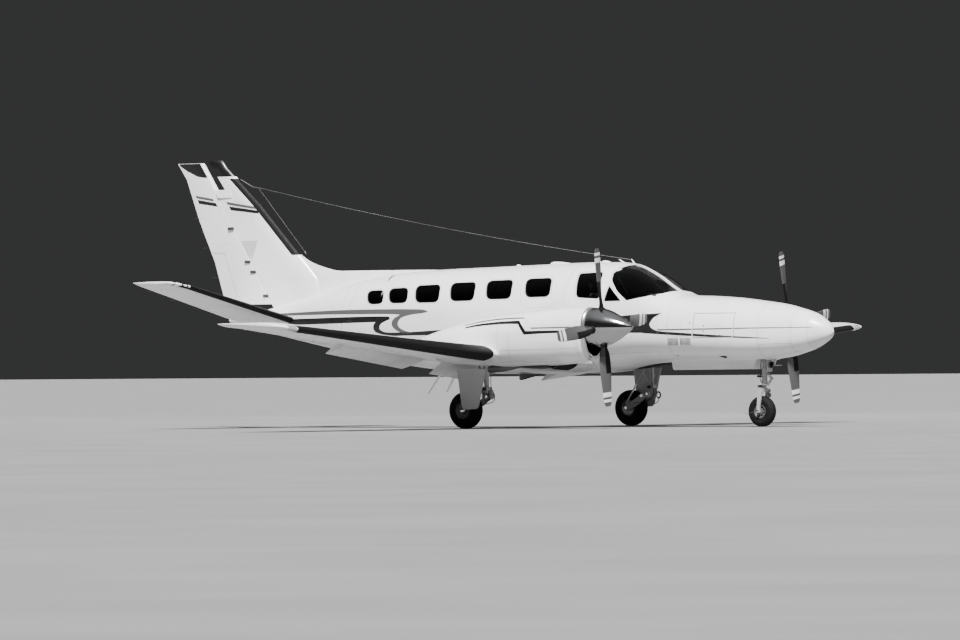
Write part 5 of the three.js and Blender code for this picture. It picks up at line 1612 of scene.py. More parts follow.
def make_main_gear(name, side):
    y = TRACK_HALF * side

    def at(s, d, z):
        """A point d inboard of the wheel's middle."""
        return pt(s, y - d * side, z)

    leg = turned(at(4.64, 0, 1.0595), at(4.625, 0, 0.5),
                 [(0, 0.048), (0.1, 0.048), (0.11, 0.052), (0.125, 0.052), (0.135, 0.047),
                  (0.42, 0.036), (0.47, 0.036), (0.5, 0.03)], 36)
    lugs = [prism(rounded([(4.585, 0.6), (4.665, 0.6), (4.675, 0.5), (4.65, 0.43), (4.59, 0.43),
                           (4.57, 0.5)], 0.03), sorted((y - a * side, y - b * side)), "side")
            for a, b in ((0.055, 0.075), (-0.065, -0.045))]
    lugs.append(prism(rounded([(4.585, 0.61), (4.665, 0.61), (4.665, 0.56), (4.59, 0.56)], 0.012),
                      sorted((y - 0.075 * side, y + 0.065 * side)), "side"))
    ribs = [turned(at(4.64, 0, 0.93 - 0.11 * i), at(4.625, 0, 0.5),
                   [(0, 0.043 - 0.003 * i), (0.003, 0.047 - 0.003 * i),
                    (0.016, 0.047 - 0.003 * i), (0.019, 0.043 - 0.003 * i)], 32)
            for i in range(3)]
    add_mesh(f"main leg {name}", merged([leg] + lugs + ribs), GEAR_PAINT, "airframe",
             smooth=35, replaces=[f"main_leg_{name}"])
    pins = [rod(at(4.62, 0.138, 0.478), at(4.62, -0.075, 0.478), 0.0195, 28),
            turned(at(4.62, -0.066, 0.478), at(4.62, -0.2, 0.478),
                   [(0, 0.044), (0.004, 0.046), (0.01, 0.046), (0.014, 0.04), (0.014, 0.03),
                    (0.006, 0.028)], 36),
            turned(at(4.62, 0.136, 0.478), at(4.62, 0.3, 0.478),
                   [(0, 0.03), (0.006, 0.03), (0.009, 0.022), (0.014, 0.02)], 6)]
    add_mesh(f"main pivot {name}", merged(pins), CHROME, "airframe", smooth=30)

    hook = spline([at(4.585, -0.07, 0.5), at(4.55, -0.08, 0.505), at(4.528, -0.08, 0.47),
                   at(4.535, -0.075, 0.425), at(4.575, -0.07, 0.42)], 6)
    hoses = [
        tube(hook, 0.012, 12),
        tube(spline([at(4.595, 0.06, 1.03), at(4.59, 0.055, 0.8), at(4.585, 0.05, 0.62),
                     at(4.545, 0.07, 0.5), at(4.575, 0.1, 0.4), at(4.68, 0.12, 0.37),
                     at(4.86, 0.142, 0.34)], 8), 0.0055, 10),
        tube(spline([at(4.6, -0.09, 0.44), at(4.57, -0.1, 0.4), at(4.6, -0.1, 0.35),
                     at(4.66, -0.105, 0.33)], 6), 0.0065, 10),
    ]
    add_mesh(f"main gear hoses {name}", merged(hoses), SEAL, "airframe", smooth=40)
    clips = [turned(at(4.592, 0.055, z + 0.006), at(4.592, 0.055, z - 0.1),
                    [(0, 0.006), (0.001, 0.0085), (0.011, 0.0085), (0.012, 0.006)], 12)
             for z in (0.95, 0.8, 0.68)]
    add_mesh(f"main gear clips {name}", merged(clips), STEEL, "airframe", smooth=30)

    arm = [prism(rounded([(4.575, 0.478), (4.6, 0.527), (4.66, 0.527), (4.86, 0.395),
                          (4.985, 0.325), (5.035, 0.295), (5.035, 0.245), (4.99, 0.218),
                          (4.86, 0.285), (4.64, 0.43), (4.595, 0.435)], 0.025),
                 sorted((y - 0.105 * side, y - 0.135 * side)), "side"),
           prism(rounded([(4.68, 0.487), (4.86, 0.367), (4.955, 0.308), (4.955, 0.278),
                          (4.87, 0.31), (4.68, 0.436)], 0.012),
                 sorted((y - 0.1355 * side, y - 0.1375 * side)), "side"),
           rod(at(5.0, 0.142, 0.27), at(5.0, -0.085, 0.27), 0.0295, 32),
           turned(at(4.62, 0.098, 0.478), at(4.62, 0.2, 0.478),
                  [(0, 0.04), (0.044, 0.04), (0.047, 0.036)], 32)]
    add_mesh(f"trailing link {name}", merged(arm), GEAR_PAINT, "airframe",
             smooth=30, replaces=[f"trailing_link_{name}"])
    nuts = [turned(at(5.0, 0.142, 0.27), at(5.0, 0.3, 0.27), [(0, 0.026), (0.01, 0.026),
                                                              (0.013, 0.022)], 6),
            turned(at(5.0, -0.084, 0.27), at(5.0, -0.3, 0.27),
                   [(0, 0.034), (0.004, 0.036), (0.008, 0.033), (0.0105, 0.02), (0.011, 0.004)],
                   32),
            rod(at(4.725, 0.09, 0.452), at(4.725, 0.15, 0.452), 0.016, 24),
            turned(at(4.725, 0.136, 0.452), at(4.725, 0.3, 0.452),
                   [(0, 0.024), (0.004, 0.026), (0.008, 0.024)], 28)]
    add_mesh(f"main axle nuts {name}", merged(nuts), CHROME, "airframe", smooth=30)

    top, low = at(4.685, 0.055, 0.93), at(4.992, 0.12, 0.352)
    way = unit(low - top)
    length = float(np.linalg.norm(low - top))
    add_mesh(f"oleo cylinder {name}", merged([
        turned(top, low, [(0, 0.012), (0.01, 0.026), (0.03, 0.0285), (0.3, 0.0285),
                          (0.305, 0.0315), (0.335, 0.0315), (0.34, 0.018)], 32),
        turned(low - way * 0.05, low, [(0, 0.016), (0.006, 0.02), (0.05, 0.02)], 24),
        rod(at(4.685, 0.0, 0.935), at(4.685, 0.085, 0.935), 0.017, 20),
        prism(rounded([(4.635, 0.97), (4.7, 0.965), (4.708, 0.92), (4.64, 0.9)], 0.015),
              sorted((y + 0.012 * side, y - 0.012 * side)), "side"),
        prism(rounded([(4.97, 0.315), (4.975, 0.37), (5.01, 0.375), (5.02, 0.31)], 0.012),
              sorted((y - 0.109 * side, y - 0.131 * side)), "side"),
    ]), GEAR_PAINT, "airframe", smooth=30)
    add_mesh(f"oleo rod {name}", turned(top + way * 0.33, low, [(0, 0.0145),
                                                                (length - 0.36, 0.0145)], 24),
             CHROME, "airframe", smooth=30)

    braces = [rod(at(4.64, 0.02, 0.98), at(4.76, 0.12, 1.04), 0.026, 20),
              turned(at(4.64, 0.03, 0.63), at(4.92, 0.13, 1.04),
                     [(0, 0.018), (0.02, 0.024), (0.05, 0.017), (0.26, 0.017), (0.262, 0.013),
                      (0.497, 0.013)], 20)]
    add_mesh(f"side brace {name}", merged(braces), GEAR_PAINT, "airframe")

    outline = [(5.06, 0.87), (4.54, 0.87)]
    outline += rounded([(4.54, 0.87), (4.68, 0.29), (4.97, 0.28), (5.06, 0.87)], 0.06)[9:27]
    panel = [prism(outline, sorted((y + 0.1365 * side, y + 0.14 * side)), "side")]
    inner = [(4.8 + (s - 4.8) * 0.93, 0.58 + (z - 0.58) * 0.94) for s, z in outline]
    panel.append(prism(inner, sorted((y + 0.1255 * side, y + 0.1364 * side)), "side"))
    add_mesh(f"main gear panel {name}", merged(panel), LIGHT_GREY, "airframe",
             smooth=25)
    arms = [prism(rounded([(4.62, z0), (4.69, z0), (4.7, z1), (4.62, z1)], 0.008),
                  sorted((y, y + 0.1254 * side)), "side")
            for z0, z1 in ((0.74, 0.762), (0.6, 0.618))]
    arms += [rod(at(4.64, -0.03, 0.7), at(4.8, -0.124, 0.55), 0.008, 14)]
    add_mesh(f"panel arms {name}", merged(arms), GEAR_PAINT, "airframe", smooth=25)

    disc = wheel_turned(MAIN_AXLE_S, MAIN_TYRE_R, y - 0.088 * side - 0.004,
                        [(0, 0.045), (0, 0.1), (0.002, 0.102), (0.006, 0.102), (0.008, 0.1),
                         (0.008, 0.045), (0, 0.045)], 64, caps=False)
    add_mesh(f"brake disc {name}", disc, STEEL, f"main_wheel_{name}", smooth=30)
    pads = []
    for turn in (-30, 50):
        a = math.radians(turn)
        c, n = math.cos(a), math.sin(a)
        outline = rounded([(-0.035, 0.052), (0.035, 0.052), (0.038, 0.094), (-0.038, 0.094)],
                          0.012)
        outline = [(MAIN_AXLE_S + u * c + v * n, MAIN_TYRE_R - u * n + v * c) for u, v in outline]
        pads.append(prism(outline, sorted((y - 0.0985 * side, y - 0.1045 * side)), "side"))
        end = 0.139 if turn > 0 else 0.12
        for u in (-0.018, 0.018):
            ps, pz = MAIN_AXLE_S + u * c + 0.075 * n, MAIN_TYRE_R - u * n + 0.075 * c
            pads.append(rod(at(ps, 0.104, pz), at(ps, end, pz), 0.011, 16))
    add_mesh(f"brake calipers {name}", merged(pads), DARK_STEEL, "airframe", smooth=30)

    make_wheel(f"main {name}", f"main_wheel_{name}", (f"main_tyre_{name}", f"main_rim_{name}"),
               MAIN_AXLE_S, y, MAIN_TYRE_W / 2, MAIN_RIM_R, MAIN_TYRE_R, 0.0305,
               (-0.042, -0.021, 0.0, 0.021, 0.042), 0.03, 10)


def steer_at(z):
    """The point of the nose leg's raked axis at a height."""
    return pt(1.2 - 0.035 * (z - 0.62) / 0.579, 0, z)


def make_nose_gear():
    top, low = steer_at(1.199), steer_at(0.622)
    leg = turned(top, low, [(0, 0.046), (0.03, 0.046), (0.04, 0.04), (0.33, 0.04), (0.335, 0.047),
                            (0.375, 0.047), (0.38, 0.041), (0.52, 0.041), (0.525, 0.046),
                            (0.56, 0.046), (0.565, 0.04), (0.577, 0.036)], 40)
    pieces = [leg,
              rod(pt(1.166, -0.12, 1.13), pt(1.166, 0.12, 1.13), 0.025, 24),
              turned(pt(1.18, 0, 0.95), pt(1.45, 0, 1.19),
                     [(0, 0.012), (0.012, 0.024), (0.04, 0.024), (0.05, 0.016), (0.3, 0.016),
                      (0.361, 0.018)], 20),
              prism(rounded([(1.15, 0.975), (1.2, 0.985), (1.23, 0.955), (1.19, 0.92),
                             (1.15, 0.93)], 0.012), (-0.026, 0.026), "side")]
    pieces += [prism(rounded([(1.14, 0.86), (1.118, 0.86), (1.118, 0.95), (1.14, 0.95)], 0.008),
                     (y - 0.006, y + 0.006), "side") for y in (-0.02, 0.02)]
    add_mesh("nose leg", merged(pieces), GEAR_PAINT, "airframe", smooth=30,
             replaces=["nose_leg"])
    plate = prism(rounded([(-0.066, 0.8), (0.066, 0.8), (0.078, 0.98), (-0.078, 0.98)], 0.015),
                  (1.104, 1.112), "front")
    add_mesh("nose leg panel", plate, LIGHT_GREY, "airframe", smooth=25)
    lamp = turned(pt(1.092, 0, 0.9), pt(1.0, 0, 0.9),
                  [(-0.012, 0.03), (0, 0.046), (0.012, 0.05), (0.018, 0.05), (0.0185, 0.046)], 36)
    add_mesh("taxi lamp", lamp, DARK_STEEL, "airframe", smooth=30)
    lens = turned(pt(1.0735, 0, 0.9), pt(1.0, 0, 0.9),
                  [(0, 0.045), (0.004, 0.04), (0.006, 0.022), (0.0065, 0.002)], 36)
    add_mesh("taxi lamp lens", lens, LAMP_GLASS, "airframe", smooth=50)
    bars = []
    for y in (-0.024, 0.024):
        bars += [rod(steer_at(0.79) + np.array((0.042, y, 0)), pt(1.07, y, 0.7), 0.0085, 14),
                 rod(pt(1.07, y * 0.7, 0.7), steer_at(0.6) + np.array((0.052, y, 0)), 0.0085, 14)]
    bars.append(rod(pt(1.07, -0.034, 0.7), pt(1.07, 0.034, 0.7), 0.012, 18))
    add_mesh("nose torque links", merged(bars[:1] + bars[2:3] + bars[4:]), GEAR_PAINT, "airframe")
    add_mesh("nose lower torque links", merged([bars[1], bars[3]]), GEAR_PAINT, "nose_steer")
    hoses = [tube(spline([pt(1.21, 0.03, 1.1), pt(1.232, 0.034, 0.95), pt(1.238, 0.036, 0.8),
                          pt(1.245, 0.03, 0.7), pt(1.242, 0.028, 0.64)], 8), 0.005, 10),
             tube(spline([pt(1.21, -0.03, 1.1), pt(1.236, -0.036, 0.92), pt(1.24, -0.03, 0.78),
                          pt(1.26, -0.02, 0.7), pt(1.24, -0.02, 0.64)], 8), 0.005, 10),
             turned(pt(1.27, -0.075, 0.735), pt(1.27, 0.075, 0.735),
                    [(0, 0.012), (0.01, 0.017), (0.1, 0.017), (0.11, 0.008), (0.15, 0.008)], 20)]
    add_mesh("nose gear hoses", merged(hoses), SEAL, "airframe", smooth=35)

    fork = [turned(steer_at(0.612), steer_at(0.5), [(0, 0.034), (0.004, 0.037), (0.02, 0.037),
                                                    (0.024, 0.033), (0.11, 0.036)], 36),
            prism(rounded([(-0.115, 0.5), (0.115, 0.5), (0.1145, 0.535), (0.06, 0.562),
                           (-0.06, 0.562), (-0.1145, 0.535)], 0.014), (1.168, 1.242), "front")]
    for y0, y1 in ((0.09, 0.115), (-0.115, -0.09)):
        fork.append(prism(rounded([(1.168, 0.555), (1.242, 0.555), (1.262, 0.3), (1.266, 0.205),
                                   (1.214, 0.205), (1.21, 0.3)], 0.014), (y0, y1), "side"))
    fork.append(rod(pt(1.24, -0.122, 0.225), pt(1.24, 0.122, 0.225), 0.0195, 28))
    add_mesh("nose fork", merged(fork), GEAR_PAINT, "nose_steer", smooth=30,
             replaces=["nose_fork"])
    small = [turned(pt(1.24, side * 0.122, 0.225), pt(1.24, side * 0.3, 0.225),
                    [(0, 0.024), (0.008, 0.024), (0.011, 0.018)], 6) for side in (-1, 1)]
    small.append(rod(steer_at(0.625), steer_at(0.6), 0.03, 32))
    small.append(rod(pt(1.17, -0.03, 0.585), pt(1.085, -0.055, 0.535), 0.0095, 14))
    add_mesh("nose fork fittings", merged(small), CHROME, "nose_steer", smooth=30)
    dark = [turned(pt(1.088, -0.054, 0.537), pt(1.06, -0.062, 0.521),
                   [(0, 0.011), (0.004, 0.015), (0.026, 0.015), (0.03, 0.009)], 16),
            prism(rounded([(1.152, 0.49), (1.1, 0.485), (1.11, 0.425), (1.142, 0.435)], 0.012),
                  (-0.03, 0.03), "side"),
            turned(pt(1.27, -0.05, 0.59), pt(1.27, 0.05, 0.59),
                   [(0, 0.014), (0.004, 0.019), (0.096, 0.019), (0.1, 0.014)], 20),
            tube(spline([pt(1.27, -0.128, 0.222), pt(1.33, -0.135, 0.212), pt(1.4, -0.14, 0.19),
                         pt(1.452, -0.138, 0.198)], 6), 0.003, 8)]
    dark.append(rod(pt(1.24, 0, 0.59), pt(1.27, 0, 0.59), 0.01, 12))
    add_mesh("nose fork dark parts", merged(dark), DARK_STEEL, "nose_steer", smooth=30)
    make_wheel("nose", "nose_wheel", ("nose_tyre", "nose_rim"), NOSE_AXLE_S, 0.0,
               NOSE_TYRE_W / 2, NOSE_RIM_R, NOSE_TYRE_R, 0.0205, (-0.024, 0.0, 0.024), 0.024, 8)

    for name, side in SIDES.items():
        outline = [(1.2, 1.02)] + rounded([(1.2, 1.02), (1.29, 0.84), (2.68, 0.835),
                                           (2.72, 1.02)], 0.03)[9:27] + [(2.72, 1.02)]
        skin = prism(outline, sorted((0.1665 * side, 0.1695 * side)), "side")
        inner = rounded([(1.27, 0.99), (1.31, 0.86), (2.655, 0.855), (2.68, 0.99)], 0.02)
        rib = prism(inner, sorted((0.156 * side, 0.1664 * side)), "side")
        hinges = [prism(rounded([(s - 0.02, 0.99), (s + 0.02, 0.99), (s + 0.02, 1.05),
                                 (s - 0.02, 1.05)], 0.008),
                        sorted((0.157 * side, 0.167 * side)), "side")
                  for s in (1.42, 1.95, 2.5)]
        add_mesh(f"nose gear door {name}", merged([skin, rib] + hinges), WHITE, "airframe",
                 smooth=25, replaces=[f"nose_gear_door_{name}"])
    well = block(WELL[0] + 0.002, WELL[1] - 0.002, -0.168, 0.168, 1.192, 1.198)
    add_mesh("nose well roof", well, PRIMER, "airframe", smooth=0)


# Cabin
def pad_shape(low, high, r, crown=0.0, place=None):
    """A stuffed shape between two corners (s, y, z), its top slightly domed."""
    steps = 6
    low, high = np.minimum(low, high), np.maximum(low, high)
    middle = (low + high) / 2
    reach = (high - low) / 2
    rings = []
    for k in range(2 * steps + 5):
        if k <= steps:
            a = math.pi / 2 * k / steps
            inset, z = r - r * math.sin(a), low[2] + r - r * math.cos(a)
        elif k <= 2 * steps + 1:
            a = math.pi / 2 * (k - steps - 1) / steps
            inset, z = r - r * math.cos(a), high[2] - r + r * math.sin(a)
        else:
            inset = r + (min(reach[0], reach[1]) - r) * (0.3, 0.62, 0.9)[k - 2 * steps - 2]
            z = high[2] + crown * (0.55, 0.88, 1.0)[k - 2 * steps - 2]
        ring = []
        for sx, sy, start in ((1, 1, 0), (-1, 1, 90), (-1, -1, 180), (1, -1, 270)):
            rr = max(0.2 * r, r - inset * 0.3)
            cx = middle[0] + sx * (reach[0] - inset - rr)
            cy = middle[1] + sy * (reach[1] - inset - rr)
            for j in range(steps + 1):
                b = math.radians(start + 90 * j / steps)
                q = np.array((cx + rr * math.cos(b), cy + rr * math.sin(b), z))
                ring.append(place(q) if place else pt(*q))
        rings.append(ring)
    return loft(rings)


def make_seats():
    """Eight seats on their rails; the front two are the crew's."""
    frames, trims = [], []
    for row, s in enumerate((3.62, 4.75, 5.5, 6.3)):
        for name, side in SIDES.items():
            y = 0.31 * side
            title = f"{row + 1} {name}"
            cushion = add_mesh(f"seat cushion {title}", pad_shape(
                (s - 0.24, y - 0.2, 1.43), (s + 0.2, y + 0.2, 1.505), 0.032, 0.018), SEAT,
                "airframe", smooth=50)
            base = pt(s + 0.2, y, 1.51)
            lean = math.radians(13)

            def upright(q, base=base, lean=lean):
                """A pad that lies flat, stood up as a seat's back."""
                u, v, w = q
                up, back = u, w
                return base + np.array((-up * math.sin(lean) + back * math.cos(lean), v,
                                        up * math.cos(lean) + back * math.sin(lean)))

            back = add_mesh(f"seat back {title}", pad_shape(
                (-0.01, -0.185, -0.075), (0.48, 0.185, 0.0), 0.032, 0.014, upright), SEAT,
                "airframe", smooth=50)
            rest = add_mesh(f"headrest {title}", pad_shape(
                (0.515, -0.12, -0.07), (0.635, 0.12, -0.01), 0.026, 0.008, upright), SEAT,
                "airframe", smooth=50)
            for w in (-0.05, 0.05):
                frames.append(rod(upright((0.45, w, -0.04)), upright((0.54, w, -0.04)), 0.006, 10))
            frames.append(rounded_box((s - 0.2, y - 0.17, 1.235), (s + 0.16, y + 0.17, 1.4), 0.02))
            frames.append(rounded_box((s - 0.23, y - 0.19, 1.402), (s + 0.19, y + 0.19, 1.428),
                                      0.01))
            for w in (-0.11, 0.11):
                frames.append(rounded_box((s - 0.23, y + w - 0.02, 1.2), (s + 0.22, y + w + 0.02,
                                                                          1.234), 0.006))
            if row:
                for w in (-0.225, 0.225):
                    trims.append(pad_shape((s - 0.14, y + w - 0.022, 1.64),
                                           (s + 0.2, y + w + 0.022, 1.675), 0.012, 0.002))
                    trims.append(rounded_box((s + 0.05, y + w - 0.016, 1.45),
                                             (s + 0.17, y + w + 0.016, 1.638), 0.01))
    for y in (-0.42, -0.2, 0.2, 0.42):
        frames.append(rounded_box((3.3, y - 0.012, 1.1815), (6.6, y + 0.012, 1.1995), 0.003))
    add_mesh("seat frames and rails", merged(frames), DARK_STEEL, "airframe", smooth=30,
             replaces=["cabin_seats"])
    add_mesh("armrests", merged(trims), TRIM, "airframe", smooth=40)


def make_cockpit():
    face_s = 3.052
    shield = [(2.74, 1.918), (2.76, 1.945), (3.02, 1.955), (3.1, 1.948), (3.112, 1.93),
              (3.09, 1.915), (2.9, 1.912)]
    panel = [prism(rounded([(-0.5, 1.46), (0.5, 1.46), (0.53, 1.6), (0.52, 1.9), (-0.52, 1.9),
                            (-0.53, 1.6)], 0.03), (3.0, 3.05), "front")]
    pedestal = prism(rounded([(3.03, 1.19), (3.3, 1.19), (3.3, 1.58), (3.22, 1.61), (3.051, 1.67)],
                             0.02), (-0.11, 0.11), "side")
    hood = prism(rounded(shield, 0.012, 4), (-0.53, 0.53), "side")
    add_mesh("instrument panel", merged(panel + [pedestal]), PANEL, "airframe",
             smooth=30, replaces=["instrument_panel"])
    add_mesh("glare shield", hood, LEATHER_BLACK, "airframe", smooth=35)
    bezels, glasses, marks = [], [], []
    for side in (-1, 1):
        for row, z in enumerate((1.78, 1.665)):
            for col in range(3):
                y = side * (0.17 + 0.115 * col)
                at = pt(face_s - 0.001, y, z)
                away = at - AHEAD
                bezels.append(turned(at, away, [(0, 0.049), (0.006, 0.047), (0.008, 0.043),
                                                (0.004, 0.04), (0.002, 0.039)], 32))
                glasses.append(turned(at, away, [(0, 0.039), (0.0035, 0.039), (0.004, 0.03)], 32))
                for k in range(12):
                    a = math.radians(30 * k)
                    p = at + np.array((-0.0046, 0.031 * math.sin(a), 0.031 * math.cos(a)))
                    marks.append(turned(p, p - AHEAD, [(0, 0.0018), (0.0004, 0.0015)], 6))
                a = math.radians(47 * (row * 3 + col) + 20 * side)
                tip = at + np.array((-0.0052, 0.027 * math.sin(a), 0.027 * math.cos(a)))
                marks.append(rod(at + np.array((-0.0052, 0, 0)), tip, 0.0012, 6))
    for z in (1.8, 1.7, 1.6, 1.51):
        bezels.append(rounded_box((3.049, -0.085, z - 0.036), (3.058, 0.085, z + 0.036), 0.004))
        glasses.append(rounded_box((3.0575, -0.06, z - 0.026), (3.0595, 0.06, z + 0.026), 0.001))
    add_mesh("instrument bezels", merged(bezels), PANEL, "airframe", smooth=30)
    add_mesh("instrument faces", merged(glasses), INSTRUMENT, "airframe", smooth=30)
    add_mesh("instrument marks", merged(marks), BAND_PAINT, "airframe", smooth=30)
    knobs = []
    for i in range(9):
        y = -0.44 + 0.11 * i
        at = pt(face_s - 0.001, y, 1.53)
        knobs.append(turned(at, at - AHEAD,
                            [(0, 0.012), (0.01, 0.012), (0.012, 0.009), (0.024, 0.008)], 14))
    for i, y in enumerate((-0.075, -0.045, -0.012, 0.02, 0.05, 0.08)):
        foot = pt(3.15, y, 1.63)
        tip = pt(3.13 + 0.02 * (i % 2), y, 1.72)
        knobs += [rod(foot, tip, 0.003, 8),
                  turned(tip, tip + UP, [(0, 0.006), (0.004, 0.011), (0.02, 0.011),
                                         (0.024, 0.006)], 14)]
    add_mesh("knobs and levers", merged(knobs), LEATHER_BLACK, "airframe", smooth=35)
    for name, side in SIDES.items():
        y = 0.31 * side
        hub = pt(3.2, y, 1.63)
        wheel = [rod(pt(3.051, y, 1.62), hub, 0.014, 18),
                 rounded_box((3.19, y - 0.03, 1.6), (3.215, y + 0.03, 1.66), 0.01)]
        for w in (-1, 1):
            horn = [pt(3.203, y + w * 0.025, 1.63), pt(3.203, y + w * 0.1, 1.625),
                    pt(3.21, y + w * 0.145, 1.66), pt(3.215, y + w * 0.14, 1.75)]
            wheel.append(tube(spline(horn, 6), 0.0105, 12))
        add_mesh(f"control wheel {name}", merged(wheel), LEATHER_BLACK, "airframe", smooth=40)
    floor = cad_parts["cabin_floor"]
    floor.data.materials.clear()
    floor.data.materials.append(CARPET)
    wall = prism(rounded([(-0.56, 1.19), (0.56, 1.19), (0.66, 1.5), (0.6, 2.0), (0.35, 2.28),
                          (-0.35, 2.28), (-0.6, 2.0), (-0.66, 1.5)], 0.08), (7.62, 7.64), "front")
    add_mesh("rear bulkhead trim", wall, TRIM, "airframe", smooth=25)


# Joints and fittings
def hoop(s, width=0.0035, gap=0.0):
    """A thin joint round the fuselage, left open for gap either side of the keel."""
    n = 180
    rings = [oval_ring(rows_at(FUSELAGE, at)[0], -0.0007, n)
             for at in (s - width / 2, s + width / 2)]
    faces = []
    for i in range(n):
        j = (i + 1) % n
        open_here = gap and rings[0][i][2] < 1.3 and abs(rings[0][i][1]) < gap
        if not open_here:
            faces.append((i, j, n + j, n + i))
    return list(rings[0]) + list(rings[1]), faces


def dots(centres, place, r=0.004):
    """Flush round fastener heads on a surface."""
    n = 8
    turns = [2 * math.pi * i / n for i in range(n)]
    parts = []
    for s, z in centres:
        ring = place([(s + r * math.cos(a), z + r * math.sin(a)) for a in turns])
        parts.append((list(ring), [tuple(range(n))]))
    return merged(parts)


def spaced(path, step):
    """Points at even steps along a path."""
    out = []
    for a, b in zip(path, path[1:]):
        n = max(1, round(math.dist(a, b) / step))
        out += [(a[0] + (b[0] - a[0]) * i / n, a[1] + (b[1] - a[1]) * i / n) for i in range(n)]
    return out + [tuple(path[-1])]


def shrunk(outline, d):
    """A closed outline moved inwards."""
    p = np.array(outline, dtype=float)
    a, b = p - np.roll(p, 1, 0), np.roll(p, -1, 0) - p
    a /= np.linalg.norm(a, axis=1)[:, None] + 1e-12
    b /= np.linalg.norm(b, axis=1)[:, None] + 1e-12
    q = np.roll(p, -1, 0)
    turning = 1 if (p[:, 0] * q[:, 1] - q[:, 0] * p[:, 1]).sum() > 0 else -1
    inward = np.stack((-(a + b)[:, 1], (a + b)[:, 0]), 1) * turning
    inward /= np.linalg.norm(inward, axis=1)[:, None] + 1e-12
    return [tuple(v) for v in p + inward * d]


def make_frames():
    """Seals round the cabin windows and white frames round the cockpit panes."""
    def ringed(title, panes, width, mat, body, whole=(), hollow=()):
        piece = thin_shell(title, 0.005, 0.0137)
        combine(piece, merged([pane_prism(o, s) for o, s in panes] + list(whole)), "INTERSECT")
        combine(piece, merged([pane_prism(shrunk(o, width), s) for o, s in panes]
                              + list(hollow)))
        finish_mesh(piece, mat, body)

    ringed("window seals", CABIN_PANES, 0.008, SEAL, "airframe")
    ringed("door window seal", [(DOOR_PANE, 1)], 0.008, SEAL, "door_upper")
    ringed("cockpit window frames", COCKPIT_PANES, 0.012, WHITE, "airframe",
           screen_prisms(SCREEN_PANE, SCREEN_STRIP),
           screen_prisms(shrunk(SCREEN_PANE, 0.014), SCREEN_STRIP + 0.012))
    bars = [rod((NOSE_X - 3.489, y * 0.424, 2.292), (NOSE_X - 3.439, y * 0.37, 2.32), 0.011, 16)
            for y in (-1, 1)]
    add_mesh("screen retainers", merged(bars), WHITE, "airframe", smooth=40)
    for name, side in SIDES.items():
        skin = on_fuselage(side, 0.0009)
        lines = [ribbon(divided(shrunk(o, -0.012), 0.03), skin, 0.0035, True)
                 for o, s in PANES if s == side]
        add_mesh(f"pane surrounds {name}", merged(lines), SEAM, "airframe", smooth=60)


def make_joints():
    """Panel joints and rows of fasteners on the fuselage and nacelles."""
    hoops = [hoop(s) for s in (0.53, CAP_S, 1.02, 4.25, 8.2, 9.35, 10.1)]
    hoops += [hoop(2.455, gap=0.18), hoop(CABIN_REAR_S, 0.005)]
    add_mesh("fuselage joints", merged(hoops), SEAM, "airframe", smooth=60)
    for name, side in SIDES.items():
        skin = on_fuselage(side, 0.0009)
        exit_line = rounded([(5.11, 2.235), (4.557, 2.25), (4.425, 1.773), (4.98, 1.752)], 0.08)
        lines = [
            [(8.2, 1.22), (7.6, 1.16)], [(6.85, 1.1), (4.25, 1.06), (2.8, 1.1)],
            [(2.4, 1.32), (2.12, 1.325)], [(1.02, 1.2), (0.53, 1.21)],
            [(2.24, 1.1), (2.24, 1.6)], [(2.62, 1.3), (2.62, 1.86)],
        ]
        strips = [ribbon(divided(line, 0.03, False), skin, SEAM_WIDTH) for line in lines]
        if side < 0:
            strips.append(ribbon(divided(exit_line, 0.03), skin, 0.0035, True))
        add_mesh(f"side joints {name}", merged(strips), SEAM, "airframe", smooth=60)

        heads = []
        for s in (0.55, 1.0, 2.43, 2.48, 4.23, 4.27, 8.18, 8.22):
            crown, keel = rows_at(FUSELAGE, s)[0, 1:3]
            heads += spaced([(s, keel + 0.1), (s, crown - 0.1)], 0.045)
        heads += spaced([(6.8, 1.115), (4.3, 1.075)], 0.05) + spaced([(6.8, 1.085), (4.3, 1.045)],
                                                                   0.05)
        heads += [(2.095, 1.517), (2.397, 1.046), (3.751, 1.737), (3.716, 1.736)]
        panes = [shrunk(o, -0.02) for o in [o for o, s in PANES if s == side] + [SCREEN_PANE]]
        heads = [p for p in heads if not any(inside(p, o)[0] for o in panes)]
        add_mesh(f"side fasteners {name}", dots(heads, skin), FASTENER, "airframe", smooth=60)

        spots = dots([(3.751, 1.737), (3.716, 1.736), (2.095, 1.517), (2.397, 1.046)], skin, 0.012)
        add_mesh(f"dark fittings {name}", spots, SEAL, "airframe", smooth=60)
        latches = dots([(1.6, 1.335), (1.84, 1.335), (1.865, 1.471), (1.861, 1.398)], skin, 0.011)
        add_mesh(f"bay latches {name}", latches, DARK_STEEL, f"bay_door_{name}", smooth=60)

        for engine_name, engine in SIDES.items():
            place = on_nacelle(engine, side, 0.0009)
            title = f"{engine_name} {'outer' if side == engine else 'inner'}"
            seams = []
            for s, z0, z1 in ((2.625, 1.02, 1.7), (3.995, 0.98, 1.63), (3.785, 0.98, 1.4)):
                seams.append(ribbon(divided([(s, z0), (s, z1)], 0.02, False), place, 0.0035))
            seams.append(ribbon(divided([(2.63, 1.16), (3.99, 1.13)], 0.03, False), place, 0.003))
            add_mesh(f"cowl joints {title}", merged(seams), SEAM, "airframe", smooth=60)
            heads = spaced([(3.81, 0.97), (3.81, 1.39)], 0.05)
            heads += spaced([(2.65, 1.05), (2.65, 1.68)], 0.045)
            heads += spaced([(2.7, 1.175), (3.9, 1.145)], 0.06)
            add_mesh(f"cowl fasteners {title}", dots(heads, place, 0.0048), FASTENER, "airframe",
                     smooth=60)


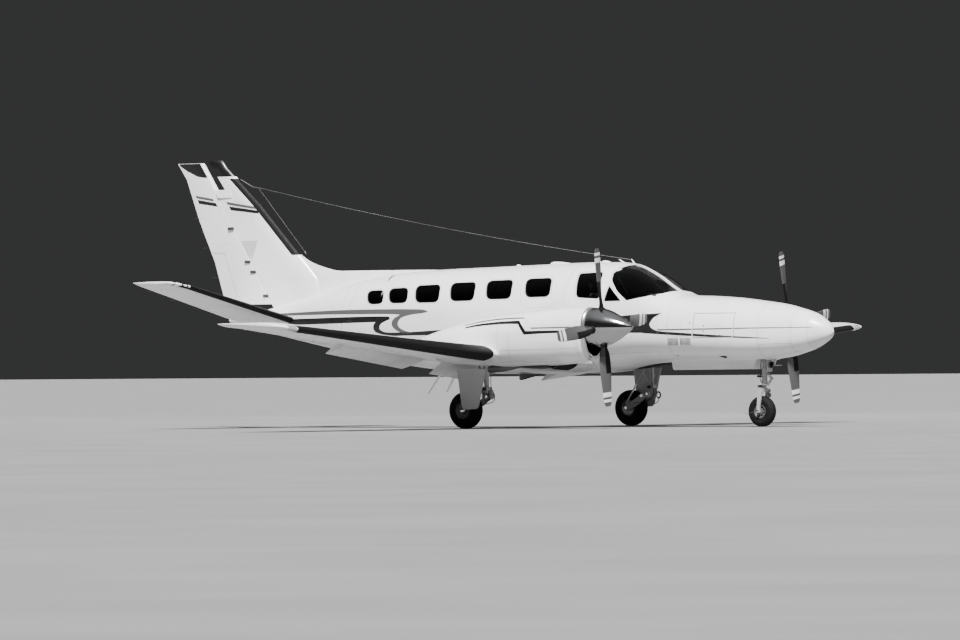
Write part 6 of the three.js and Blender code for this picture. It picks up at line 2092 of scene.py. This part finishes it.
def make_louvres():
    for name, side in SIDES.items():
        skin, dark, lips = on_fuselage(side, 0.001), [], []
        for rear, front in ((2.47, 2.29), (2.265, 2.083)):
            for i in range(9):
                s = rear - 0.012 - (rear - front - 0.024) * i / 8
                path = divided([(s, 1.2), (s - 0.012, 1.3)], 0.02, False)
                # Each slot is a near-black strip laid on the skin, painted shade for the opening
                dark.append(ribbon(path, skin, 0.008))
                for shift in (-0.0055, 0.0055):
                    lips.append(tube([np.array(p) + np.array((0, 0.0012 * side, 0)) for p in
                                      skin([(a + shift, z) for a, z in path])], 0.0018, 6))
        add_mesh(f"nose louvres {name}", merged(dark), PAINTED_SHADE_DARK, "airframe", smooth=60)
        add_mesh(f"louvre lips {name}", merged(lips), LIGHT_GREY, "airframe", smooth=60)


def aerial(root, tip, chord, thick):
    """A swept blade aerial between two points; chord is at the root and at the tip."""
    n = 12
    rings = []
    for t in (0, 0.3, 0.6, 0.85, 0.95, 1):
        centre = np.array(root) + (np.array(tip) - np.array(root)) * t
        wide = chord[0] + (chord[1] - chord[0]) * t
        wide *= 0.75 if t == 1 else 1
        deep = thick * (1 - 0.5 * t)
        rings.append([centre + np.array((wide / 2 * math.cos(a), deep / 2 * math.sin(a), 0))
                      for a in (math.pi * i / n for i in range(2 * n))])
    return loft(rings)


def low_body(s0, s1, half, height, base):
    """A low rounded housing on the roof, fuller towards s0."""
    n = 16
    rings = []
    for i in range(n + 1):
        t = i / n
        swell = max(0.04, math.sin(math.pi * t ** 0.5)) ** 0.45
        s = s0 + (s1 - s0) * t
        ring = [pt(s, half * swell * math.cos(a), base + height * swell * math.sin(a))
                for a in (math.pi * k / 12 for k in range(13))]
        ring += [pt(s, -half * swell, base - 0.02), pt(s, half * swell, base - 0.02)]
        rings.append(ring)
    return loft(rings)


def on_wing(table, side, sign, camber, lift=0.0011):
    """Places (y, share of the chord) on the upper or lower skin of a wing."""
    def place(points):
        out = []
        for y, x in points:
            s, w, z = section_point(rows_at(table, y)[0], x, sign, camber, lift)
            out.append(pt(s, w * side, z))
        return out
    return place


def make_aerials():
    add_mesh("belly aerials", merged([
        aerial(pt(6.87, 0, 0.93), pt(7.22, 0, 0.501), (0.07, 0.032), 0.014),
        aerial(pt(6.66, 0, 0.88), pt(6.87, 0, 0.53), (0.07, 0.032), 0.014),
    ]), WHITE, "airframe", smooth=40)
    rings = []
    for s, low, w in ((5.09, 0.787, 0.004), (5.14, 0.776, 0.014), (5.24, 0.757, 0.022),
                      (5.36, 0.733, 0.026), (5.46, 0.708, 0.027), (5.51, 0.698, 0.024),
                      (5.535, 0.703, 0.016), (5.545, 0.716, 0.008)):
        arc = [(w * math.cos(a), low + w * 0.8 - w * 0.8 * math.sin(a))
               for a in (math.pi * k / 10 for k in range(11))]
        rings.append([pt(s, y, z) for y, z in arc] + [pt(s, -w, 0.8), pt(s, w, 0.8)])
    add_mesh("belly boat aerial", loft(rings), BLACK_PAINT, "airframe", smooth=40)
    # Each stands a little way into the crown
    roof = [low_body(4.945, 4.6, 0.07, 0.035, crown_z(4.77) - 0.004),
            low_body(4.15, 4.05, 0.03, 0.028, crown_z(4.1) - 0.003),
            low_body(4.03, 3.89, 0.04, 0.03, crown_z(3.96) - 0.003),
            low_body(5.57, 5.5, 0.03, 0.025, crown_z(5.53) - 0.003),
            aerial(pt(3.62, 0, crown_z(3.62) - 0.02), pt(3.74, 0, crown_z(3.7) + 0.045),
                   (0.06, 0.025), 0.01),
            aerial(pt(3.45, 0, crown_z(3.45) - 0.02), pt(3.52, 0, 2.47), (0.04, 0.02), 0.012)]
    add_mesh("roof aerials", merged(roof), WHITE, "airframe", smooth=40)
    mast = tube(spline([pt(10.7, 0, 3.775), pt(10.6, 0, 3.725), pt(10.456, 0, 3.657),
                        pt(10.324, 0, 3.639)], 6), 0.009, 12)
    slack = []
    for i in range(25):
        t = i / 24
        slack.append(pt(10.33 - 6.83 * t, 0, 3.64 - 1.18 * t - 0.28 * t * (1 - t)))
    wires = [tube(slack, 0.0022, 8), rod(pt(10.35, 0, 3.63), pt(9.49, 0, 2.66), 0.0022, 8)]
    add_mesh("fin mast", merged([mast, rod(pt(9.5, 0, 2.67), pt(9.47, 0, 2.63), 0.008, 12)]),
             DARK_STEEL, "airframe", smooth=40)
    add_mesh("aerial wires", merged(wires), STEEL, "airframe", smooth=40)

    pitot = [aerial(pt(1.0, 0, 1.0), pt(1.03, 0, 0.9), (0.055, 0.04), 0.016),
             turned(pt(1.06, 0, 0.893), pt(0.5, 0, 0.893),
                    [(0, 0.004), (0.01, 0.009), (0.1, 0.009), (0.135, 0.0065), (0.165, 0.006)],
                    16)]
    add_mesh("pitot tube", merged(pitot), STEEL, "airframe", smooth=40)
    # The inlet mouth is a flat near-black patch on the skin, painted shade for the opening
    inlet = filled([(1.72, 1.034), (1.6, 1.036), (1.61, 1.012), (1.65, 1.0), (1.69, 1.012)], 0.02)
    for name, side in SIDES.items():
        skin = on_fuselage(side, 0.002)
        add_mesh(f"belly inlet {name}", (skin(inlet[0]), inlet[1]), PAINTED_SHADE_DARK, "airframe",
                 smooth=60)
        lip = tube([p for p in skin([(1.73, 1.038), (1.66, 1.042), (1.59, 1.04)])], 0.006, 8)
        add_mesh(f"belly inlet lip {name}", lip, WHITE, "airframe", smooth=40)


def make_wing_details():
    for name, side in SIDES.items():
        upper, lower = (on_wing(WING, side, k, CAMBER) for k in (1, -1))
        for place, title in ((upper, "upper"), (lower, "lower")):
            seams = [[(2.9, 0.13), (7.2, 0.13)], [(2.9, 0.6), (7.15, 0.62)],
                     [(4.05, 0.13), (4.05, 0.6)], [(5.5, 0.13), (5.5, 0.61)],
                     [(7.22, 0.05), (7.22, 0.96)], [(0.9, 0.15), (2.0, 0.15)],
                     [(0.9, 0.62), (2.0, 0.62)]]
            strips = [ribbon(divided(line, 0.03, False), place, SEAM_WIDTH) for line in seams]
            add_mesh(f"wing joints {title} {name}", merged(strips), SEAM, "airframe", smooth=60)
            heads = spaced([(2.95, 0.145), (7.1, 0.145)], 0.06)
            heads += spaced([(2.95, 0.585), (7.1, 0.605)], 0.06)
            add_mesh(f"wing fasteners {title} {name}", dots(heads, place, 0.0035), FASTENER,
                     "airframe", smooth=60)
        caps = []
        for y, x in ((6.35, 0.33), (3.35, 0.33)):
            at = np.array(upper([(y, x)])[0])
            caps.append(turned(at - 0.002 * UP, at + UP,
                               [(0, 0.05), (0.004, 0.05), (0.0055, 0.046), (0.0055, 0.03),
                                (0.008, 0.028), (0.009, 0.01)], 32))
        add_mesh(f"fuel caps {name}", merged(caps), STEEL, "airframe", smooth=30)
        lens = edge_strip(WING, np.linspace(7.225, 7.4, 12), side, (0.06, 0.05), CAMBER, 0.0035)
        add_mesh(f"tip lamp {name}", lens, LAMP_GLASS, "airframe", smooth=60)
        at = np.array(lower([(3.3, 0.4)])[0])
        pad = turned(at + 0.004 * UP, at - UP, [(0, 0.035), (0.012, 0.03), (0.016, 0.015)], 24)
        add_mesh(f"jack pad {name}", pad, STEEL, "airframe", smooth=30)

        for body, ys, table, camber in ((f"aileron_{name}", (5.2, 5.9, 6.6), WING, CAMBER),
                                        (f"elevator_{name}", (1.2, 1.8, 2.4), TAILPLANE, 0)):
            wicks = []
            for y in ys:
                s, w, z = section_point(rows_at(table, y)[0], 0.995, 1, camber, 0)
                wicks.append(rod(pt(s - 0.01, w * side, z), pt(s + 0.13, w * side, z - 0.004),
                                 0.0026, 8))
            add_mesh(f"static wicks {body}", merged(wicks), SEAL, body, smooth=40)

        ey = ENGINE_Y * side
        pipe = []
        for s, z, w, h in ((3.72, 0.95, 0.06, 0.035), (3.95, 0.9, 0.075, 0.045),
                           (4.15, 0.875, 0.08, 0.048), (4.34, 0.868, 0.082, 0.05),
                           (4.341, 0.868, 0.076, 0.044), (4.2, 0.872, 0.074, 0.042)):
            pipe.append([pt(s, ey + w * math.cos(a), z + h * math.sin(a))
                         for a in (2 * math.pi * k / 32 for k in range(32))])
        add_mesh(f"exhaust outlet {name}", loft(pipe), DARK_STEEL, "airframe", smooth=40)

    wicks = []
    for z in (2.3, 2.75, 3.2):
        rear = float(straight_row(RUDDER, z)[2])
        wicks.append(rod(pt(rear - 0.01, 0, z), pt(rear + 0.12, 0, z - 0.01), 0.0026, 8))
    add_mesh("static wicks rudder", merged(wicks), SEAL, "rudder", smooth=40)
    for name, side in SIDES.items():
        tab = [(10.74, 1.98), (10.995, 2.66), (11.235, 2.66)]
        add_mesh(f"rudder tab joint {name}", ribbon(divided(tab, 0.03, False),
                 on_rudder(side, 0.0018), 0.005), SEAM, "rudder", smooth=60)
        for sign, title in ((1, "upper"), (-1, "lower")):
            place = on_wing(TAILPLANE, side, sign, 0)
            seams = [[(0.4, 0.14), (2.86, 0.14)], [(2.72, 0.02), (2.72, 0.6)]]
            add_mesh(f"tailplane joints {title} {name}", merged(
                [ribbon(divided(line, 0.03, False), place, SEAM_WIDTH) for line in seams]), SEAM,
                "airframe", smooth=60)
            tab = [(0.55, 0.985), (0.55, 0.84), (1.5, 0.84), (1.5, 0.985)]
            add_mesh(f"elevator tab joint {title} {name}", ribbon(
                divided(tab, 0.03, False), on_wing(TAILPLANE, side, sign, 0, 0.003), 0.005),
                SEAM, f"elevator_{name}", smooth=60)


def make_hinge_fittings():
    """Brackets between fin and rudder that show dark in the gap."""
    brackets = []
    for s, z in ((10.44, 2.366), (10.545, 2.52), (10.86, 3.03), (10.2, 2.0)):
        brackets.append(block(s - 0.07, s + 0.035, -0.075, 0.075, z - 0.022, z + 0.022))
    add_mesh("rudder hinge brackets", merged(brackets), DARK_STEEL, "airframe", smooth=25)
    caps = [prism(rounded([(10.835, 3.614), (10.815, 3.5), (11.09, 3.503), (11.12, 3.603)], 0.02),
                  (-0.074, 0.074), "side")]
    add_mesh("upper hinge fairing", merged(caps), WHITE, "airframe", smooth=25)


def make_door_details():
    """Handles on the two leaves of the rear door."""
    skin = on_fuselage(1, 0.004)

    def seat(s, z, out=0.0):
        return np.array(skin([(s, z)])[0]) + out * TO_PORT

    grip = [turned(seat(7.235, 1.72, -0.006), seat(7.235, 1.72, 1.0),
                   [(0, 0.035), (0.008, 0.035), (0.01, 0.03)], 32),
            rod(seat(7.19, 1.72, 0.006), seat(7.28, 1.72, 0.006), 0.007, 14)]
    add_mesh("door handle", merged(grip), STEEL, "door_upper", smooth=30)
    low = rod(seat(7.19, 1.56), seat(7.28, 1.56), 0.006, 14)
    add_mesh("lower door handle", low, STEEL, "door_lower", smooth=30)


# Floor, light, camera
def make_stage():
    mat, tree, shader = new_material("studio floor")
    tone = ramp(tree, noise(tree, 0.35, 5), 0.3, 0.75)
    tree.links.new(mix(tree, tone, grey(0.19), grey(0.22)), shader.inputs["Base Color"])
    shader.inputs["Roughness"].default_value = 0.75
    bump(tree, shader, [(noise(tree, 60, 4), 0.1, 0.001)])
    r = 420.0
    floor = add_mesh("floor", ([(-r, -r, 0), (r, -r, 0), (r, r, 0), (-r, r, 0)], [(0, 1, 2, 3)]),
                     mat, smooth=0)

    world = bpy.data.worlds.new("studio")
    world.use_nodes = True
    sky = world.node_tree
    height = node(sky, "SeparateXYZ", {0: node(sky, "TexCoord").outputs["Generated"]}).outputs[2]
    glow = mix(sky, ramp(sky, height, 0.45, 0.95), (0.075, 0.076, 0.078, 1), (0.95, 0.97, 1.0, 1))
    sky.links.new(glow, sky.nodes["Background"].inputs[0])
    sky.nodes["Background"].inputs[1].default_value = 0.5
    bpy.context.scene.world = world
    make_lights()


def make_lights():
    def hang(name, data, way):
        lamp = bpy.data.objects.new(name, data)
        lamp.rotation_euler = way.to_track_quat("-Z", "Y").to_euler()
        bpy.context.scene.collection.objects.link(lamp)
        return lamp

    sun = bpy.data.lights.new("key light", "SUN")
    sun.energy = 11.5
    sun.angle = math.radians(6)
    hang("key light", sun, Vector((-0.42, 0.6, -1.1)))
    middle = Vector((0, 0, 1.4))
    for name, at, size, power in (
        ("fill light", (-22, -26, 14), 18, 500),
        ("rim light", (-10, 24, 18), 14, 2500),
    ):
        data = bpy.data.lights.new(name, "AREA")
        data.size = size
        data.energy = power
        lamp = hang(name, data, middle - Vector(at))
        lamp.location = at
        lamp.visible_glossy = False  # its reflection would show as a band in the windscreen


def make_camera():
    a, e, r = CAMERA_YAW, CAMERA_PITCH, CAMERA_ROLL
    forward = Vector((-math.sin(a) * math.cos(e), math.cos(a) * math.cos(e), math.sin(e)))
    right = forward.cross(Vector((0, 0, 1))).normalized()
    up = right.cross(forward)
    x = right * math.cos(r) + up * math.sin(r)
    y = up * math.cos(r) - right * math.sin(r)
    turn = Matrix((x, y, -forward)).transposed().to_4x4()
    data = bpy.data.cameras.new("camera")
    data.sensor_width = 36
    data.lens = 36 * CAMERA_FOCUS
    data.clip_start = 1
    data.clip_end = 3000
    camera = bpy.data.objects.new("camera", data)
    camera.matrix_world = Matrix.Translation(CAMERA_AT) @ turn
    bpy.context.scene.collection.objects.link(camera)
    bpy.context.scene.camera = camera


make_camera()
make_stage()
make_fuselage()
make_glass()
make_tail()
make_wings()
make_propellers()
make_stripes()
make_frames()
make_joints()
make_louvres()
make_aerials()
make_wing_details()
make_hinge_fittings()
make_door_details()
make_main_gear("left", 1)
make_main_gear("right", -1)
make_nose_gear()
make_seats()
make_cockpit()
